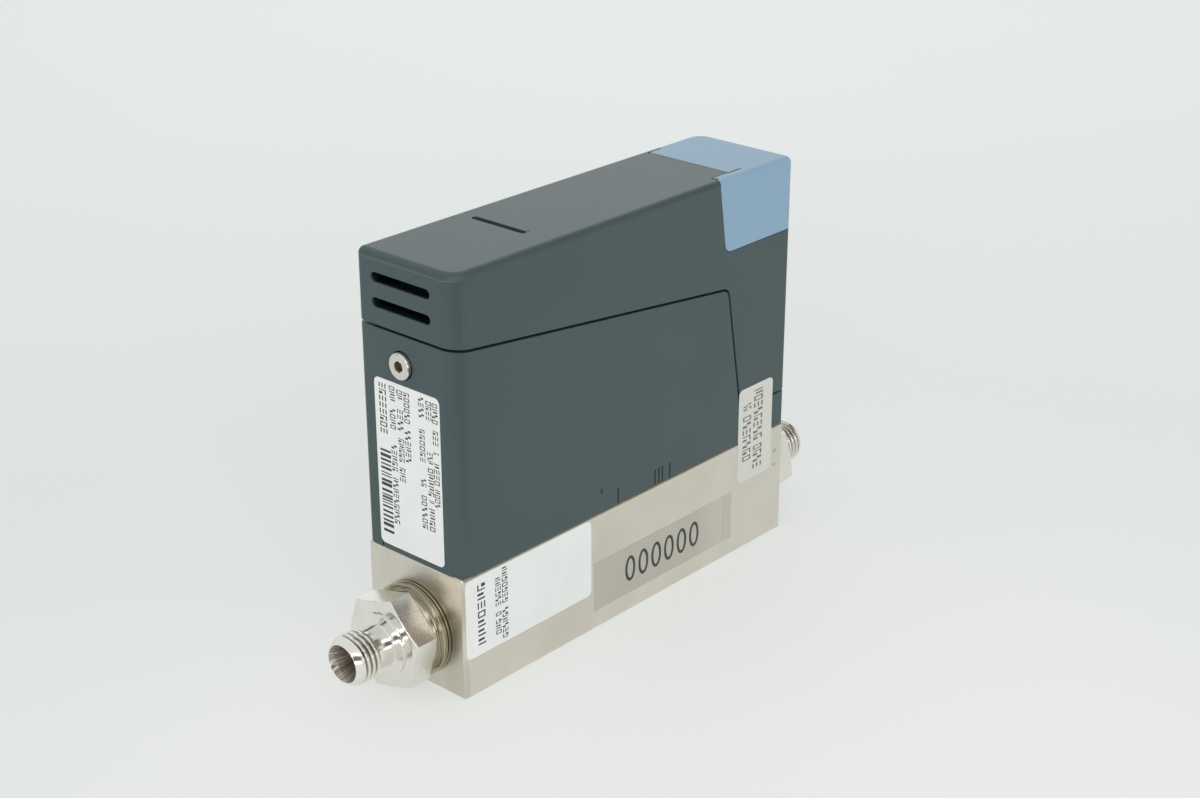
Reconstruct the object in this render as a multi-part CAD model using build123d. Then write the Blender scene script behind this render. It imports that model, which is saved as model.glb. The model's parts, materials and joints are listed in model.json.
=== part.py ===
from build123d import *
import math
import os

# Mass flow controller: a steel block with a tube fitting at each end, and a narrow
# plastic case on top that holds the flow sensor, the control valve and the electronics.
# Millimetres. Gas flows along +X, +Z is up, and the origin is the middle of the underside.

# ---- Fits shared by several pieces ----
sliding_clearance = 0.05      # radial, piece that slides or screws into a bore
seam_clearance = 0.1          # between plastic pieces that lie side by side
label_thickness = 0.1
cut_margin = 20.0             # how far a cutting shape runs past the piece it cuts
machined_edge = 0.3           # chamfer on small turned and moulded edges
moulded_edge = 1.5            # corner radius of the small inner mouldings

# ---- Base block ----
block_length = 107.0
block_width = 28.0
block_height = 28.0
block_chamfer = 0.4
gas_axis_height = 12.5
port_thread_radius = 6.58     # G 1/4
port_depth = 12.0
port_chamfer = 0.5
main_bore_radius = 4.5
main_bore_run_out = 10.0      # main bore past the sensor's downstream hole
passage_radius = 2.0
base_screw_spacing = 65.0
base_screw_radius = 1.65      # tapping hole for M4
base_screw_depth = 6.0

# ---- Screws (radius of thread, radius and height of head, key size) ----
m3_thread_radius = 1.5
m3_head_radius = 2.75
m3_head_height = 2.0
m3_key = 2.5
screw_hole_clearance = 0.2
screw_grip = 6.0              # thread depth in the tapped piece
screw_end_gap = 1.0           # screw end above the floor of its hole
screw_edge_share = 0.12       # chamfer over head radius
screw_key_share = 0.6         # key depth over head height

# ---- Tube fittings and their seals ----
seal_outer_radius = 10.4
seal_split_radius = 8.3       # where the metal ring ends and the rubber begins
seal_bore_radius = 6.8
seal_thickness = 2.1
collar_radius = 9.2
collar_length = 2.0
hex_across_flats = 19.0
hex_length = 5.9
hex_turn = -14.0              # turn of the hexagon about the gas axis, degrees
hex_land_radius = 7.0
hex_land_height = 0.5
hex_land_share = 0.495        # radius of the hexagon's turned faces over its flats
hex_corner_angle = 16.0
neck_radius = 4.5
neck_length = 4.8             # past the hexagon
tube_nut_thread_radius = 5.45  # 7/16-20 UNF
tube_nut_thread_length = 4.1
thread_edge = 0.3
nose_length = 2.0
nose_radius = 4.45
nose_edge = 0.15
shank_edge = 0.6
shank_length = 10.5
mouth_radius = 4.1
cone_half_angle = 18.0
tube_radius = 3.0
tube_socket_depth = 9.0
fitting_bore_radius = 2.0

# ---- Gas path pieces ----
filter_length = 2.0
filter_mesh_recess = 0.4
filter_rim = 0.8
flow_element_gap = 3.0        # from the flow element to each sensor hole
flow_groove_count = 16
flow_groove_depth = 0.9
flow_groove_width = 0.6
row_gap = 2.3                 # between feet, sensor, bracket and valve along the block
sensor_hole_radius = 0.8
sensor_body_end = 8.0         # from a sensor hole to the end of the sensor body
sensor_body_width = 16.0
sensor_body_height = 7.0
sensor_recess_depth = 1.0
sensor_gasket_margin = 2.0    # from a sensor hole to the end of the gasket
sensor_gasket_width = 11.5
sensor_gasket_corner = 1.8
sensor_channel_width = 1.6
sensor_channel_depth = 1.0
sensor_board_thickness = 1.0
sensor_screw_inset = 2.9

# ---- Control valve ----
valve_chamber_radius = 6.5
valve_chamber_floor = 19.0
outlet_drop_offset = 4.6
outlet_drop_radius = 1.2
orifice_radius = 3.0
orifice_height = 5.0
orifice_rise = 1.0
orifice_bore_radius = 0.6
orifice_lip_radius = 1.2
orifice_lip_edge = 0.4
plunger_radius = 3.7
plunger_length = 24.0
plunger_spring_bore_radius = 2.2
plunger_spring_bore_depth = 7.5
seat_pad_radius = 2.0
seat_pad_thickness = 1.4
seat_bearing = 0.01           # closed pad above the orifice lip
valve_stroke = 0.6
core_gap = 0.2                # from the lifted plunger to the fixed core
tube_wall = 0.65
valve_flange_end = 6.0        # flange past the coil yoke at each end
valve_flange_corner = 3.0
valve_flange_thickness = 3.0
valve_plug_length = 6.5
valve_o_ring_radius = 0.9     # radius of the ring's round section
valve_o_ring_play = 0.1
valve_screw_inset = 3.0
spring_coil_radius = 1.7
spring_wire_radius = 0.22
spring_turns = 6
coil_yoke_wall = 2.0
coil_yoke_overlap = 0.4       # bobbin flange past the yoke at each side
coil_end_gap = 1.1            # from the bobbin flange to the yoke's ends
coil_board_gap = 0.9          # from the bobbin flange to the main board
coil_space_height = 18.0
bobbin_wall = 0.8
bobbin_flange_thickness = 1.0
bobbin_flange_rise = 0.6      # flange past the winding
coil_nut_flats = 12.0
coil_nut_height = 4.0
core_stub = 1.0               # core past the coil nut

# ---- Case ----
case_wall = 2.2
case_inset = 0.1              # case face behind the block face, sides and near end
case_overhang = 0.4           # case past the block at the far end
case_height = 65.6            # above the block
case_top_radius = 1.5
case_wide_corner = 4.0        # near corner on the -Y side and far corner on the +Y side
case_tight_corner = 1.5       # the two other upright corners
case_inner_corner = 0.25      # least upright corner radius inside
case_inner_top_radius = 0.2
seam_drop = 15.75             # near stretch of the seam below the top
seam_fall = 10.2              # drop of the seam along the side
seam_corner_setback = 22.5    # from the far end of the case
seam_foot_setback = 17.0
seam_far_rise = 8.5           # far stretch of the seam above the block
seam_corner_radius = 2.2
seam_gap = 0.6
seam_lip_thickness = 1.1
seam_lip_rise = 1.8
seam_lip_root = 2.5
vent_pitch = 5.35             # from the top to the upper slot and on to the lower one
vent_center_y = 1.25
vent_length = 16.8
vent_height = 2.1
thumb_groove_setback = 28.1   # middle of the groove from the near face of the case
thumb_groove_center_y = 1.5
thumb_groove_length = 15.2
thumb_groove_width = 1.6
thumb_groove_depth = 1.0
gate_mark_radius = 0.25       # pit left by the mould beside the groove
gate_mark_offset_x = 1.25     # from the middle of the groove
gate_mark_offset_y = -7.1
latch_slit_width = 0.4
latch_slit_height = 3.9
latch_slits_x = (-5.6, 6.75, 8.05, 9.25, 11.85)
front_slit_y = 9.6
front_slit_height = 1.2
foot_length = 8.0
foot_width = 13.0
foot_thickness = 2.5

# ---- Front screw that joins the two halves of the case ----
front_screw_y = 1.6
front_screw_drop = 6.7        # below the near stretch of the seam
front_screw_head_radius = 2.9
front_screw_seat_depth = 1.0
front_screw_rise = 1.0        # head past the face of the case
front_boss_wall = 2.3
front_tab_width = 9.0
front_tab_thickness = 4.0
front_tab_drop = 6.5          # below the screw
front_tab_gap = 0.2           # below the lower vent slot
insert_radius = 2.1
insert_length = 3.0

# ---- Coloured end cap ----
cap_thickness = 1.3
cap_height = 17.0
cap_edge_setback = 20.1       # these four from the far end of the case
cap_wing_tip_setback = 25.6
cap_wing_top_setback = 26.1
cap_wing_foot_setback = 23.7
cap_wing_corner = 2.0
cap_wing_width = 2.9          # wing over the top, from the -Y side of the case
cap_far_strip_width = 2.0     # strip of the case left beside the cap, along the +Y side
cap_slit_length = 4.5
cap_slit_width = 0.3
cap_relief_radius = 0.35      # holes at the corners where the cap meets the top of the case
cap_gap = 0.15

# ---- Electronics ----
board_thickness = 1.6
board_case_gap = 0.2          # from the board to the lip of the lower housing
board_near_gap = 8.4          # from the board to the ends of the case
board_far_gap = 7.9
board_top_gap = 7.6
board_block_gap = 10.0
board_corner = 1.0
bracket_thickness = 1.2
bracket_width = 8.0
bracket_foot_width = 16.0
bracket_board_drop = 16.0     # bracket top below the board's upper edge
bracket_screw_gap = 0.35      # from a screw head to the upright
board_screw_drops = (6.0, 22.0)
board_screw_radius = 1.25
board_screw_head_radius = 2.2
board_screw_head_height = 1.1
board_screw_key = 1.5
capacitor_radius = 4.0
capacitor_height = 8.0
capacitor_edge = 0.5
capacitor_offsets = ((9.0, 8.0), (19.0, 8.0))      # from the board's near upper corner
chip_height = 1.5
chip_sizes = ((12.0, 12.0), (7.0, 7.0), (9.0, 6.0))
chip_offsets = ((15.0, 26.0), (31.0, 11.5), (59.0, 11.5))
sensor_header_length = 12.0
sensor_header_rise = 9.0      # above the sensor board
coil_header_length = 8.0
coil_header_rise = 6.0        # above the core
coil_header_offset = 5.0
header_height = 5.0
header_depth = 4.2
header_corner = 0.5
flex_width = 8.0
flex_thickness = 0.25
flex_offset = 2.0             # from the middle of the sensor
flex_bend_radius = 1.5

# ---- Signal connector on the far end ----
connector_flange_length = 30.8
connector_flange_width = 12.6
connector_flange_thickness = 0.9
connector_flange_corner = 1.5
connector_shell_length = 16.3
connector_shell_width = 8.3
connector_shell_wall = 0.4
connector_shell_reach = 5.9
connector_taper = 10.0
connector_corner = 2.2
connector_least_corner = 0.4
connector_opening_gap = 1.0   # cut-out in the case round the shell
connector_shoulder = 0.8      # insulator past the shell, behind the flange
connector_recess = 0.3        # insulator behind the rim of the shell
connector_pitch = 2.77
connector_row_pitch = 2.84
connector_contact_radius = 0.55
connector_contact_recess = 1.5
connector_socket_radius = 0.33
connector_socket_depth = 4.0
connector_body_depth = 9.5
connector_pin_half_width = 0.3
connector_pin_overlap = 0.5   # pin into the contact, and past the board
connector_pin_bends = (1.2, 3.2)                   # behind the insulator, wide row first
connector_screw_spacing = 25.0
standoff_flats = 4.8
standoff_length = 5.0
standoff_thread_radius = 1.2  # 4-40 UNC
standoff_thread_depth = 4.0

# ---- Labels ----
front_label_side_gaps = (5.0, 3.9)                 # from the -Y and the +Y side of the case
front_label_foot_gap = 1.2
front_label_screw_gap = 4.35
block_label_length = 38.2
block_label_height = 18.3
block_label_end_gap = 0.7
block_label_top_gap = 0.6
tape_label_length = 47.9
tape_label_gap = 1.0          # from the block label
tape_label_z = (4.5, 16.3)
seal_label_end_gap = 4.5      # from the far end of the block
seal_label_length = 12.6
seal_label_drop = 10.5        # below and above the top of the block
seal_label_rise = 13.2
label_corner = 1.3

# ---- Values worked out from the ones above ----
half_length = block_length / 2
half_width = block_width / 2
case_x_low = -half_length + case_inset
case_x_high = half_length + case_overhang
case_half_width = half_width - case_inset
case_top = block_height + case_height
connector_face = case_x_high

# Board and coil, from the side of the case inwards
board_face = case_half_width - case_wall - seam_lip_thickness - board_case_gap
board_y = board_face - board_thickness
bobbin_flange_radius = board_y - coil_board_gap
coil_wire_radius = bobbin_flange_radius - bobbin_flange_rise
coil_yoke_width = 2 * (bobbin_flange_radius - coil_yoke_overlap)
coil_yoke_length = 2 * (bobbin_flange_radius + coil_end_gap + coil_yoke_wall)
bracket_screw_reach = board_y - bracket_thickness - m3_head_radius - bracket_screw_gap

# Row of pieces on the block: near foot, sensor, bracket, valve, far foot
valve_flange_length = coil_yoke_length + 2 * valve_flange_end
row_x_low = case_x_low + case_wall + foot_length
row_x_high = case_x_high - case_wall - foot_length
row_room = row_x_high - row_x_low - 4 * row_gap
sensor_body_length = row_room - bracket_width - valve_flange_length
sensor_hole_spacing = sensor_body_length - 2 * sensor_body_end
flow_element_length = sensor_hole_spacing - 2 * flow_element_gap
sensor_center_x = row_x_low + row_gap + sensor_body_length / 2
bracket_x = sensor_center_x + sensor_body_length / 2 + row_gap + bracket_width / 2
valve_x = row_x_high - row_gap - valve_flange_length / 2
main_bore_end = sensor_center_x + sensor_hole_spacing / 2 + main_bore_run_out

# Valve, from its seat upwards
valve_tube_bore = plunger_radius + sliding_clearance
valve_tube_radius = valve_tube_bore + tube_wall
plunger_foot = valve_chamber_floor + orifice_rise
plunger_head = plunger_foot + plunger_length
core_foot = plunger_head + valve_stroke + core_gap
yoke_foot = block_height + valve_flange_thickness
yoke_top = yoke_foot + coil_space_height + 2 * coil_yoke_wall
core_top = yoke_top + coil_nut_height + core_stub
sensor_top = block_height + sensor_body_height

# Heights and ends on the case
vent_heights = (case_top - 2 * vent_pitch, case_top - vent_pitch)
thumb_groove_x = case_x_low + thumb_groove_setback
seam_near_height = case_top - seam_drop
seam_corner_height = seam_near_height - seam_fall
seam_far_height = block_height + seam_far_rise
seam_corner_x = case_x_high - seam_corner_setback
seam_foot_x = case_x_high - seam_foot_setback
front_screw_z = seam_near_height - front_screw_drop
cap_foot_height = case_top - cap_height
cap_edge_x = case_x_high - cap_edge_setback
cap_wing_top_x = case_x_high - cap_wing_top_setback
cap_wing_foot_x = case_x_high - cap_wing_foot_setback
cap_wing_tip_x = case_x_high - cap_wing_tip_setback
cap_wing_y = -case_half_width + cap_wing_width
cap_strip_y = case_half_width - cap_far_strip_width
cap_slit_end_x = cap_edge_x + cap_slit_length
connector_z = (seam_far_height + cap_foot_height) / 2

# Board and what it carries
board_x_low = case_x_low + board_near_gap
board_x_high = case_x_high - board_far_gap
board_z_low = block_height + board_block_gap
board_z_high = case_top - board_top_gap
bracket_top = board_z_high - bracket_board_drop
board_screw_heights = [bracket_top - drop for drop in board_screw_drops]
flex_x = sensor_center_x + flex_offset
sensor_header_z = sensor_top + sensor_board_thickness + sensor_header_rise
coil_header_x = valve_x - coil_header_offset
coil_header_z = core_top + coil_header_rise

# Labels
front_label_y = (-case_half_width + front_label_side_gaps[0], case_half_width - front_label_side_gaps[1])
front_label_z = (block_height + front_label_foot_gap, front_screw_z - front_label_screw_gap)
block_label_x = (-half_length + block_label_end_gap, -half_length + block_label_end_gap + block_label_length)
block_label_z = (block_height - block_label_top_gap - block_label_height, block_height - block_label_top_gap)
tape_label_x = (block_label_x[1] + tape_label_gap, block_label_x[1] + tape_label_gap + tape_label_length)
seal_label_x = (half_length - seal_label_end_gap - seal_label_length, half_length - seal_label_end_gap)
seal_label_z = (block_height - seal_label_drop, block_height + seal_label_rise)


def block_between(x_range, y_range, z_range):
    """Box between two values on each axis."""
    sizes = [high - low for low, high in (x_range, y_range, z_range)]
    middle = [(high + low) / 2 for low, high in (x_range, y_range, z_range)]
    return Pos(*middle) * Box(*sizes)


def upright_bore(x, y, z_range, radius):
    return Pos(x, y, sum(z_range) / 2) * Cylinder(radius, z_range[1] - z_range[0])


def lengthwise_bore(x_range, y, z, radius):
    bore = Cylinder(radius, x_range[1] - x_range[0])
    return Pos(sum(x_range) / 2, y, z) * Rot(0, 90, 0) * bore


def crosswise_bore(x, y_range, z, radius):
    bore = Cylinder(radius, y_range[1] - y_range[0])
    return Pos(x, sum(y_range) / 2, z) * Rot(90, 0, 0) * bore


def turned(points):
    """Solid of revolution about Z from a closed outline of (radius, height) points."""
    outline = make_face(Plane.XZ * Polyline(*points, close=True))
    return revolve(outline, Axis.Z)


def tube_piece(outer, inner, z_range):
    return upright_bore(0, 0, z_range, outer) - upright_bore(0, 0, z_range, inner)


def socket_screw(thread_radius, head_radius, head_height, key, length):
    """Socket head screw: head above Z = 0, thread below."""
    edge = screw_edge_share * head_radius
    body = turned([
        (0, -length), (thread_radius - edge, -length), (thread_radius, -length + edge),
        (thread_radius, 0), (head_radius, 0), (head_radius, head_height - edge),
        (head_radius - edge, head_height), (0, head_height),
    ])
    key_depth = screw_key_share * head_height
    key_hole = extrude(RegularPolygon(key / 2, 6, major_radius=False), key_depth)
    return body - Pos(0, 0, head_height - key_depth) * key_hole


# ---------------------------------------------------------------- base block

def base_block():
    body = Pos(0, 0, block_height / 2) * Box(block_length, block_width, block_height)
    body = chamfer(body.edges(), block_chamfer)
    axis = gas_axis_height
    for end in (-1, 1):
        face_x = end * half_length
        inner_x = face_x - end * port_depth
        body -= lengthwise_bore(sorted((face_x, inner_x)), 0, axis, port_thread_radius)
        mouth = Cone(port_thread_radius + port_chamfer, port_thread_radius, port_chamfer)
        body -= Pos(face_x - end * port_chamfer / 2, 0, axis) * Rot(0, -90 * end, 0) * mouth
    port_floor = half_length - port_depth
    body -= lengthwise_bore((-port_floor, main_bore_end), 0, axis, main_bore_radius)
    body -= lengthwise_bore((main_bore_end, valve_x), 0, axis, passage_radius)
    body -= lengthwise_bore((outlet_drop_x(), port_floor), 0, axis, passage_radius)
    body -= upright_bore(outlet_drop_x(), 0, (axis, valve_chamber_floor), outlet_drop_radius)
    seat_floor = plunger_foot - orifice_height
    body -= upright_bore(valve_x, 0, (axis, seat_floor), passage_radius)
    body -= upright_bore(valve_x, 0, (seat_floor, valve_chamber_floor), orifice_radius)
    body -= upright_bore(valve_x, 0, (valve_chamber_floor, block_height), valve_chamber_radius)
    for x in sensor_holes_x():
        body -= upright_bore(x, 0, (axis, block_height), sensor_hole_radius)
    body -= sensor_gasket_blank()
    for x, y in top_screw_places():
        depth = (block_height - screw_grip, block_height)
        body -= upright_bore(x, y, depth, m3_thread_radius)
    for x in (-base_screw_spacing / 2, base_screw_spacing / 2):
        body -= upright_bore(x, 0, (0, base_screw_depth), base_screw_radius)
    return body


def outlet_drop_x():
    return valve_x + outlet_drop_offset


def sensor_holes_x():
    return [sensor_center_x - sensor_hole_spacing / 2, sensor_center_x + sensor_hole_spacing / 2]


def sensor_screws_x():
    reach = sensor_body_length / 2 - sensor_screw_inset
    return [sensor_center_x - reach, sensor_center_x + reach]


def valve_screws_x():
    reach = valve_flange_length / 2 - valve_screw_inset
    return [valve_x - reach, valve_x + reach]


def foot_screws_x():
    near = case_x_low + case_wall + foot_length / 2
    far = case_x_high - case_wall - foot_length / 2
    return [near, far]


def bracket_screws_y():
    return [-bracket_screw_reach, bracket_screw_reach]


def top_screw_places():
    places = [(x, 0) for x in sensor_screws_x() + valve_screws_x() + foot_screws_x()]
    return places + [(bracket_x, y) for y in bracket_screws_y()]


# ---------------------------------------------------------------- fittings

def fitting_heights():
    """Heights above the block face of the steps of a fitting, from the block outwards."""
    heights = {"seal": seal_thickness}
    heights["collar"] = heights["seal"] + collar_length
    heights["hex"] = heights["collar"] + hex_length
    heights["neck"] = heights["hex"] + neck_length
    heights["thread"] = heights["neck"] + tube_nut_thread_length
    heights["nose"] = heights["thread"] + nose_length
    return heights


def chamfered_hexagon(across_flats, low, high):
    """Hexagon along Z with the corners of both faces turned off at 30 degrees."""
    corner = across_flats / math.sqrt(3)
    land = hex_land_share * across_flats
    drop = (corner - land) * math.tan(math.radians(hex_corner_angle))
    blank = turned([
        (0, low), (land, low), (corner, low + drop),
        (corner, high - drop), (land, high), (0, high),
    ])
    prism = extrude(RegularPolygon(across_flats / 2, 6, major_radius=False), high - low)
    return blank & Pos(0, 0, low) * prism


def tube_fitting():
    """Male fitting along +Z with the block face at Z = 0."""
    step = fitting_heights()
    shank_radius = port_thread_radius - sliding_clearance
    body = turned([
        (0, -shank_length), (shank_radius - shank_edge, -shank_length),
        (shank_radius, -shank_length + shank_edge), (shank_radius, step["seal"]),
        (collar_radius, step["seal"]), (collar_radius, step["collar"]),
        (hex_land_radius, step["collar"]), (hex_land_radius, step["hex"] + hex_land_height),
        (neck_radius, step["hex"] + hex_land_height), (neck_radius, step["neck"] - thread_edge),
        (tube_nut_thread_radius, step["neck"] + thread_edge),
        (tube_nut_thread_radius, step["thread"]), (nose_radius, step["nose"] - nose_edge),
        (nose_radius - nose_edge, step["nose"]), (0, step["nose"]),
    ])
    hexagon = chamfered_hexagon(hex_across_flats, step["collar"], step["hex"])
    body += Rot(0, 0, hex_turn) * hexagon
    tip = step["nose"]
    socket_radius = tube_radius + sliding_clearance
    cone_depth = (mouth_radius - socket_radius) / math.tan(math.radians(cone_half_angle))
    bore = turned([
        (0, -shank_length), (fitting_bore_radius, -shank_length),
        (fitting_bore_radius, tip - tube_socket_depth),
        (socket_radius, tip - tube_socket_depth), (socket_radius, tip - cone_depth),
        (mouth_radius, tip), (0, tip),
    ])
    return body - bore


def on_port(piece, end):
    """Turn a piece drawn along +Z so that it stands out of the -X or the +X port."""
    return Pos(end * half_length, 0, gas_axis_height) * Rot(0, 90 * end, 0) * piece


def seal_ring():
    return tube_piece(seal_outer_radius, seal_split_radius, (0, seal_thickness))


def seal_rubber():
    return tube_piece(seal_split_radius, seal_bore_radius, (0, seal_thickness))


# ---------------------------------------------------------------- gas path

def inlet_filter():
    """Sintered disc in a cup that fills the bore just behind the port."""
    x_low = -half_length + port_depth
    radius = main_bore_radius - sliding_clearance
    disc = lengthwise_bore((x_low, x_low + filter_length), 0, gas_axis_height, radius)
    recess_x = (x_low, x_low + filter_mesh_recess)
    recess = lengthwise_bore(recess_x, 0, gas_axis_height, radius - filter_rim)
    return disc - recess


def flow_element():
    """Laminar flow element: a plug with lengthwise grooves cut round its rim."""
    radius = main_bore_radius - sliding_clearance
    half = flow_element_length / 2
    body = lengthwise_bore((-half, half), 0, 0, radius)
    groove_box = Pos(0, radius, 0) * Box(flow_element_length, 2 * flow_groove_depth, flow_groove_width)
    for index in range(flow_groove_count):
        body -= Rot(360 / flow_groove_count * (index + 0.5), 0, 0) * groove_box
    return Pos(sensor_center_x, 0, gas_axis_height) * body


def sensor_gasket_blank():
    half = sensor_hole_spacing / 2 + sensor_gasket_margin
    x_range = (sensor_center_x - half, sensor_center_x + half)
    y_half = sensor_gasket_width / 2
    z_range = (block_height - sensor_recess_depth, block_height)
    blank = block_between(x_range, (-y_half, y_half), z_range)
    return fillet(blank.edges().filter_by(Axis.Z), sensor_gasket_corner)


def sensor_gasket():
    gasket = sensor_gasket_blank()
    for x in sensor_holes_x():
        gasket -= upright_bore(x, 0, (0, block_height), sensor_hole_radius)
    return gasket


def sensor_body():
    """Bypass body: two risers joined by a channel that the sensor board closes."""
    x_range = (sensor_center_x - sensor_body_length / 2, sensor_center_x + sensor_body_length / 2)
    y_half = sensor_body_width / 2
    body = block_between(x_range, (-y_half, y_half), (block_height, sensor_top))
    body = fillet(body.edges().filter_by(Axis.Z), moulded_edge)
    for x in sensor_holes_x():
        body -= upright_bore(x, 0, (block_height, sensor_top), sensor_hole_radius)
    channel_half = sensor_channel_width / 2
    channel_floor = sensor_top - sensor_channel_depth
    body -= block_between(sensor_holes_x(), (-channel_half, channel_half), (channel_floor, sensor_top))
    for x in sensor_screws_x():
        hole = m3_thread_radius + screw_hole_clearance
        body -= upright_bore(x, 0, (block_height, sensor_top), hole)
        head = m3_head_radius + screw_hole_clearance
        body -= upright_bore(x, 0, (sensor_top - m3_head_height, sensor_top), head)
    return body


def sensor_board():
    half = sensor_hole_spacing / 2 + sensor_gasket_margin
    x_range = (sensor_center_x - half, sensor_center_x + half)
    y_half = sensor_body_width / 2 - seam_clearance
    z_range = (sensor_top, sensor_top + sensor_board_thickness)
    return block_between(x_range, (-y_half, y_half), z_range)


def sensor_screws():
    length = sensor_body_height - m3_head_height + screw_grip - screw_end_gap
    screw = socket_screw(m3_thread_radius, m3_head_radius, m3_head_height, m3_key, length)
    return Compound([Pos(x, 0, sensor_top - m3_head_height) * screw for x in sensor_screws_x()])


# ---------------------------------------------------------------- control valve

def orifice():
    foot = plunger_foot - orifice_height
    edge = orifice_lip_edge
    body = turned([
        (orifice_bore_radius, foot), (orifice_radius - sliding_clearance, foot),
        (orifice_radius - sliding_clearance, valve_chamber_floor),
        (orifice_lip_radius + edge, valve_chamber_floor + edge / 2),
        (orifice_lip_radius, plunger_foot), (orifice_bore_radius, plunger_foot),
    ])
    return Pos(valve_x, 0, 0) * body


def valve_plunger():
    body = upright_bore(0, 0, (plunger_foot, plunger_head), plunger_radius)
    body = chamfer(body.edges().filter_by(GeomType.CIRCLE), machined_edge)
    body -= upright_bore(0, 0, (plunger_foot, plunger_foot + seat_pad_thickness), seat_pad_radius)
    spring_floor = plunger_head - plunger_spring_bore_depth
    body -= upright_bore(0, 0, (spring_floor, plunger_head), plunger_spring_bore_radius)
    return Pos(valve_x, 0, 0) * body


def seat_pad():
    pad_range = (plunger_foot + seat_bearing, plunger_foot + seat_pad_thickness)
    return upright_bore(valve_x, 0, pad_range, seat_pad_radius)


def core_tube():
    """Flange, plug, guide tube and fixed core, turned and milled from one bar."""
    plug_foot = block_height - valve_plug_length
    plug_radius = valve_chamber_radius - sliding_clearance
    groove_middle = block_height - valve_plug_length / 2
    groove_half = valve_o_ring_radius + valve_o_ring_play
    groove_radius = valve_chamber_radius - 2 * valve_o_ring_radius
    body = turned([
        (0, plug_foot), (plug_radius, plug_foot),
        (plug_radius, groove_middle - groove_half), (groove_radius, groove_middle - groove_half),
        (groove_radius, groove_middle + groove_half), (plug_radius, groove_middle + groove_half),
        (plug_radius, yoke_foot), (valve_tube_radius, yoke_foot),
        (valve_tube_radius, core_top), (0, core_top),
    ])
    flange = block_between(
        (-valve_flange_length / 2, valve_flange_length / 2),
        (-coil_yoke_width / 2, coil_yoke_width / 2),
        (block_height, yoke_foot),
    )
    flange = fillet(flange.edges().filter_by(Axis.Z), valve_flange_corner)
    body = Pos(valve_x, 0, 0) * (body + flange)
    body -= upright_bore(valve_x, 0, (plug_foot, core_foot), valve_tube_bore)
    for x in valve_screws_x():
        hole = m3_thread_radius + screw_hole_clearance
        body -= upright_bore(x, 0, (block_height, yoke_foot), hole)
    return body


def valve_o_ring():
    middle = block_height - valve_plug_length / 2
    section = valve_o_ring_radius - sliding_clearance / 2
    ring = Torus(valve_chamber_radius - valve_o_ring_radius, section)
    return Pos(valve_x, 0, middle) * ring


def valve_screws():
    length = valve_flange_thickness + screw_grip - screw_end_gap
    screw = socket_screw(m3_thread_radius, m3_head_radius, m3_head_height, m3_key, length)
    return Compound([Pos(x, 0, yoke_foot) * screw for x in valve_screws_x()])


def valve_spring():
    """Compression spring between the plunger's recess and the fixed core."""
    low = plunger_head - plunger_spring_bore_depth + spring_wire_radius
    high = core_foot - spring_wire_radius
    coil = Helix(pitch=(high - low) / spring_turns, height=high - low, radius=spring_coil_radius)
    start = Plane(origin=coil @ 0, z_dir=coil % 0)
    wire = sweep(start * Circle(spring_wire_radius), path=coil, is_frenet=True)
    return Pos(valve_x, 0, low) * wire


def coil_yoke():
    """Steel frame that carries the flux round the coil."""
    x_half = coil_yoke_length / 2
    y_half = coil_yoke_width / 2
    frame = block_between((-x_half, x_half), (-y_half, y_half), (yoke_foot, yoke_top))
    inner_half = x_half - coil_yoke_wall
    inner_range = (yoke_foot + coil_yoke_wall, yoke_top - coil_yoke_wall)
    frame -= block_between((-inner_half, inner_half), (-y_half, y_half), inner_range)
    frame -= upright_bore(0, 0, (yoke_foot, yoke_top), valve_tube_radius + sliding_clearance)
    return Pos(valve_x, 0, 0) * frame


def bobbin_range():
    return (yoke_foot + coil_yoke_wall, yoke_top - coil_yoke_wall)


def coil_bobbin():
    low, high = bobbin_range()
    inner = valve_tube_radius + sliding_clearance
    core = inner + bobbin_wall
    body = turned([
        (inner, low), (bobbin_flange_radius, low),
        (bobbin_flange_radius, low + bobbin_flange_thickness),
        (core, low + bobbin_flange_thickness), (core, high - bobbin_flange_thickness),
        (bobbin_flange_radius, high - bobbin_flange_thickness),
        (bobbin_flange_radius, high), (inner, high),
    ])
    return Pos(valve_x, 0, 0) * body


def coil_winding():
    low, high = bobbin_range()
    core = valve_tube_radius + sliding_clearance + bobbin_wall
    span = (low + bobbin_flange_thickness, high - bobbin_flange_thickness)
    return Pos(valve_x, 0, 0) * tube_piece(coil_wire_radius, core, span)


def coil_nut():
    nut = chamfered_hexagon(coil_nut_flats, yoke_top, yoke_top + coil_nut_height)
    nut -= upright_bore(0, 0, (yoke_top, core_top), valve_tube_radius + sliding_clearance)
    return Pos(valve_x, 0, 0) * nut


# ---------------------------------------------------------------- case

def case_form(inset, foot):
    """Outer form of the case drawn in by inset all round and on top."""
    x_low, x_high = case_x_low + inset, case_x_high - inset
    y_half = case_half_width - inset
    wide = max(case_wide_corner - inset, case_inner_corner)
    tight = max(case_tight_corner - inset, case_inner_corner)
    corners = [
        ((x_low, -y_half), wide), ((x_high, -y_half), tight),
        ((x_high, y_half), wide), ((x_low, y_half), tight),
    ]
    plan = make_face(Polyline(*[place for place, radius in corners], close=True))
    for place, radius in corners:
        nearest = plan.vertices().sort_by_distance((*place, 0))[0]
        plan = fillet(nearest, radius)
    form = Pos(0, 0, foot) * extrude(plan, case_top - inset - foot)
    top_edges = form.faces().sort_by(Axis.Z)[-1].edges()
    return fillet(top_edges, max(case_top_radius - inset, case_inner_top_radius))


def side_profile(points, corner_radius, corner):
    """Prism across the whole width from (x, z) points, with one corner rounded."""
    outline = make_face(Polyline(*points, close=True))
    rounded = outline.vertices().sort_by_distance((*corner, 0))[0]
    return fillet(rounded, corner_radius)


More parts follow.
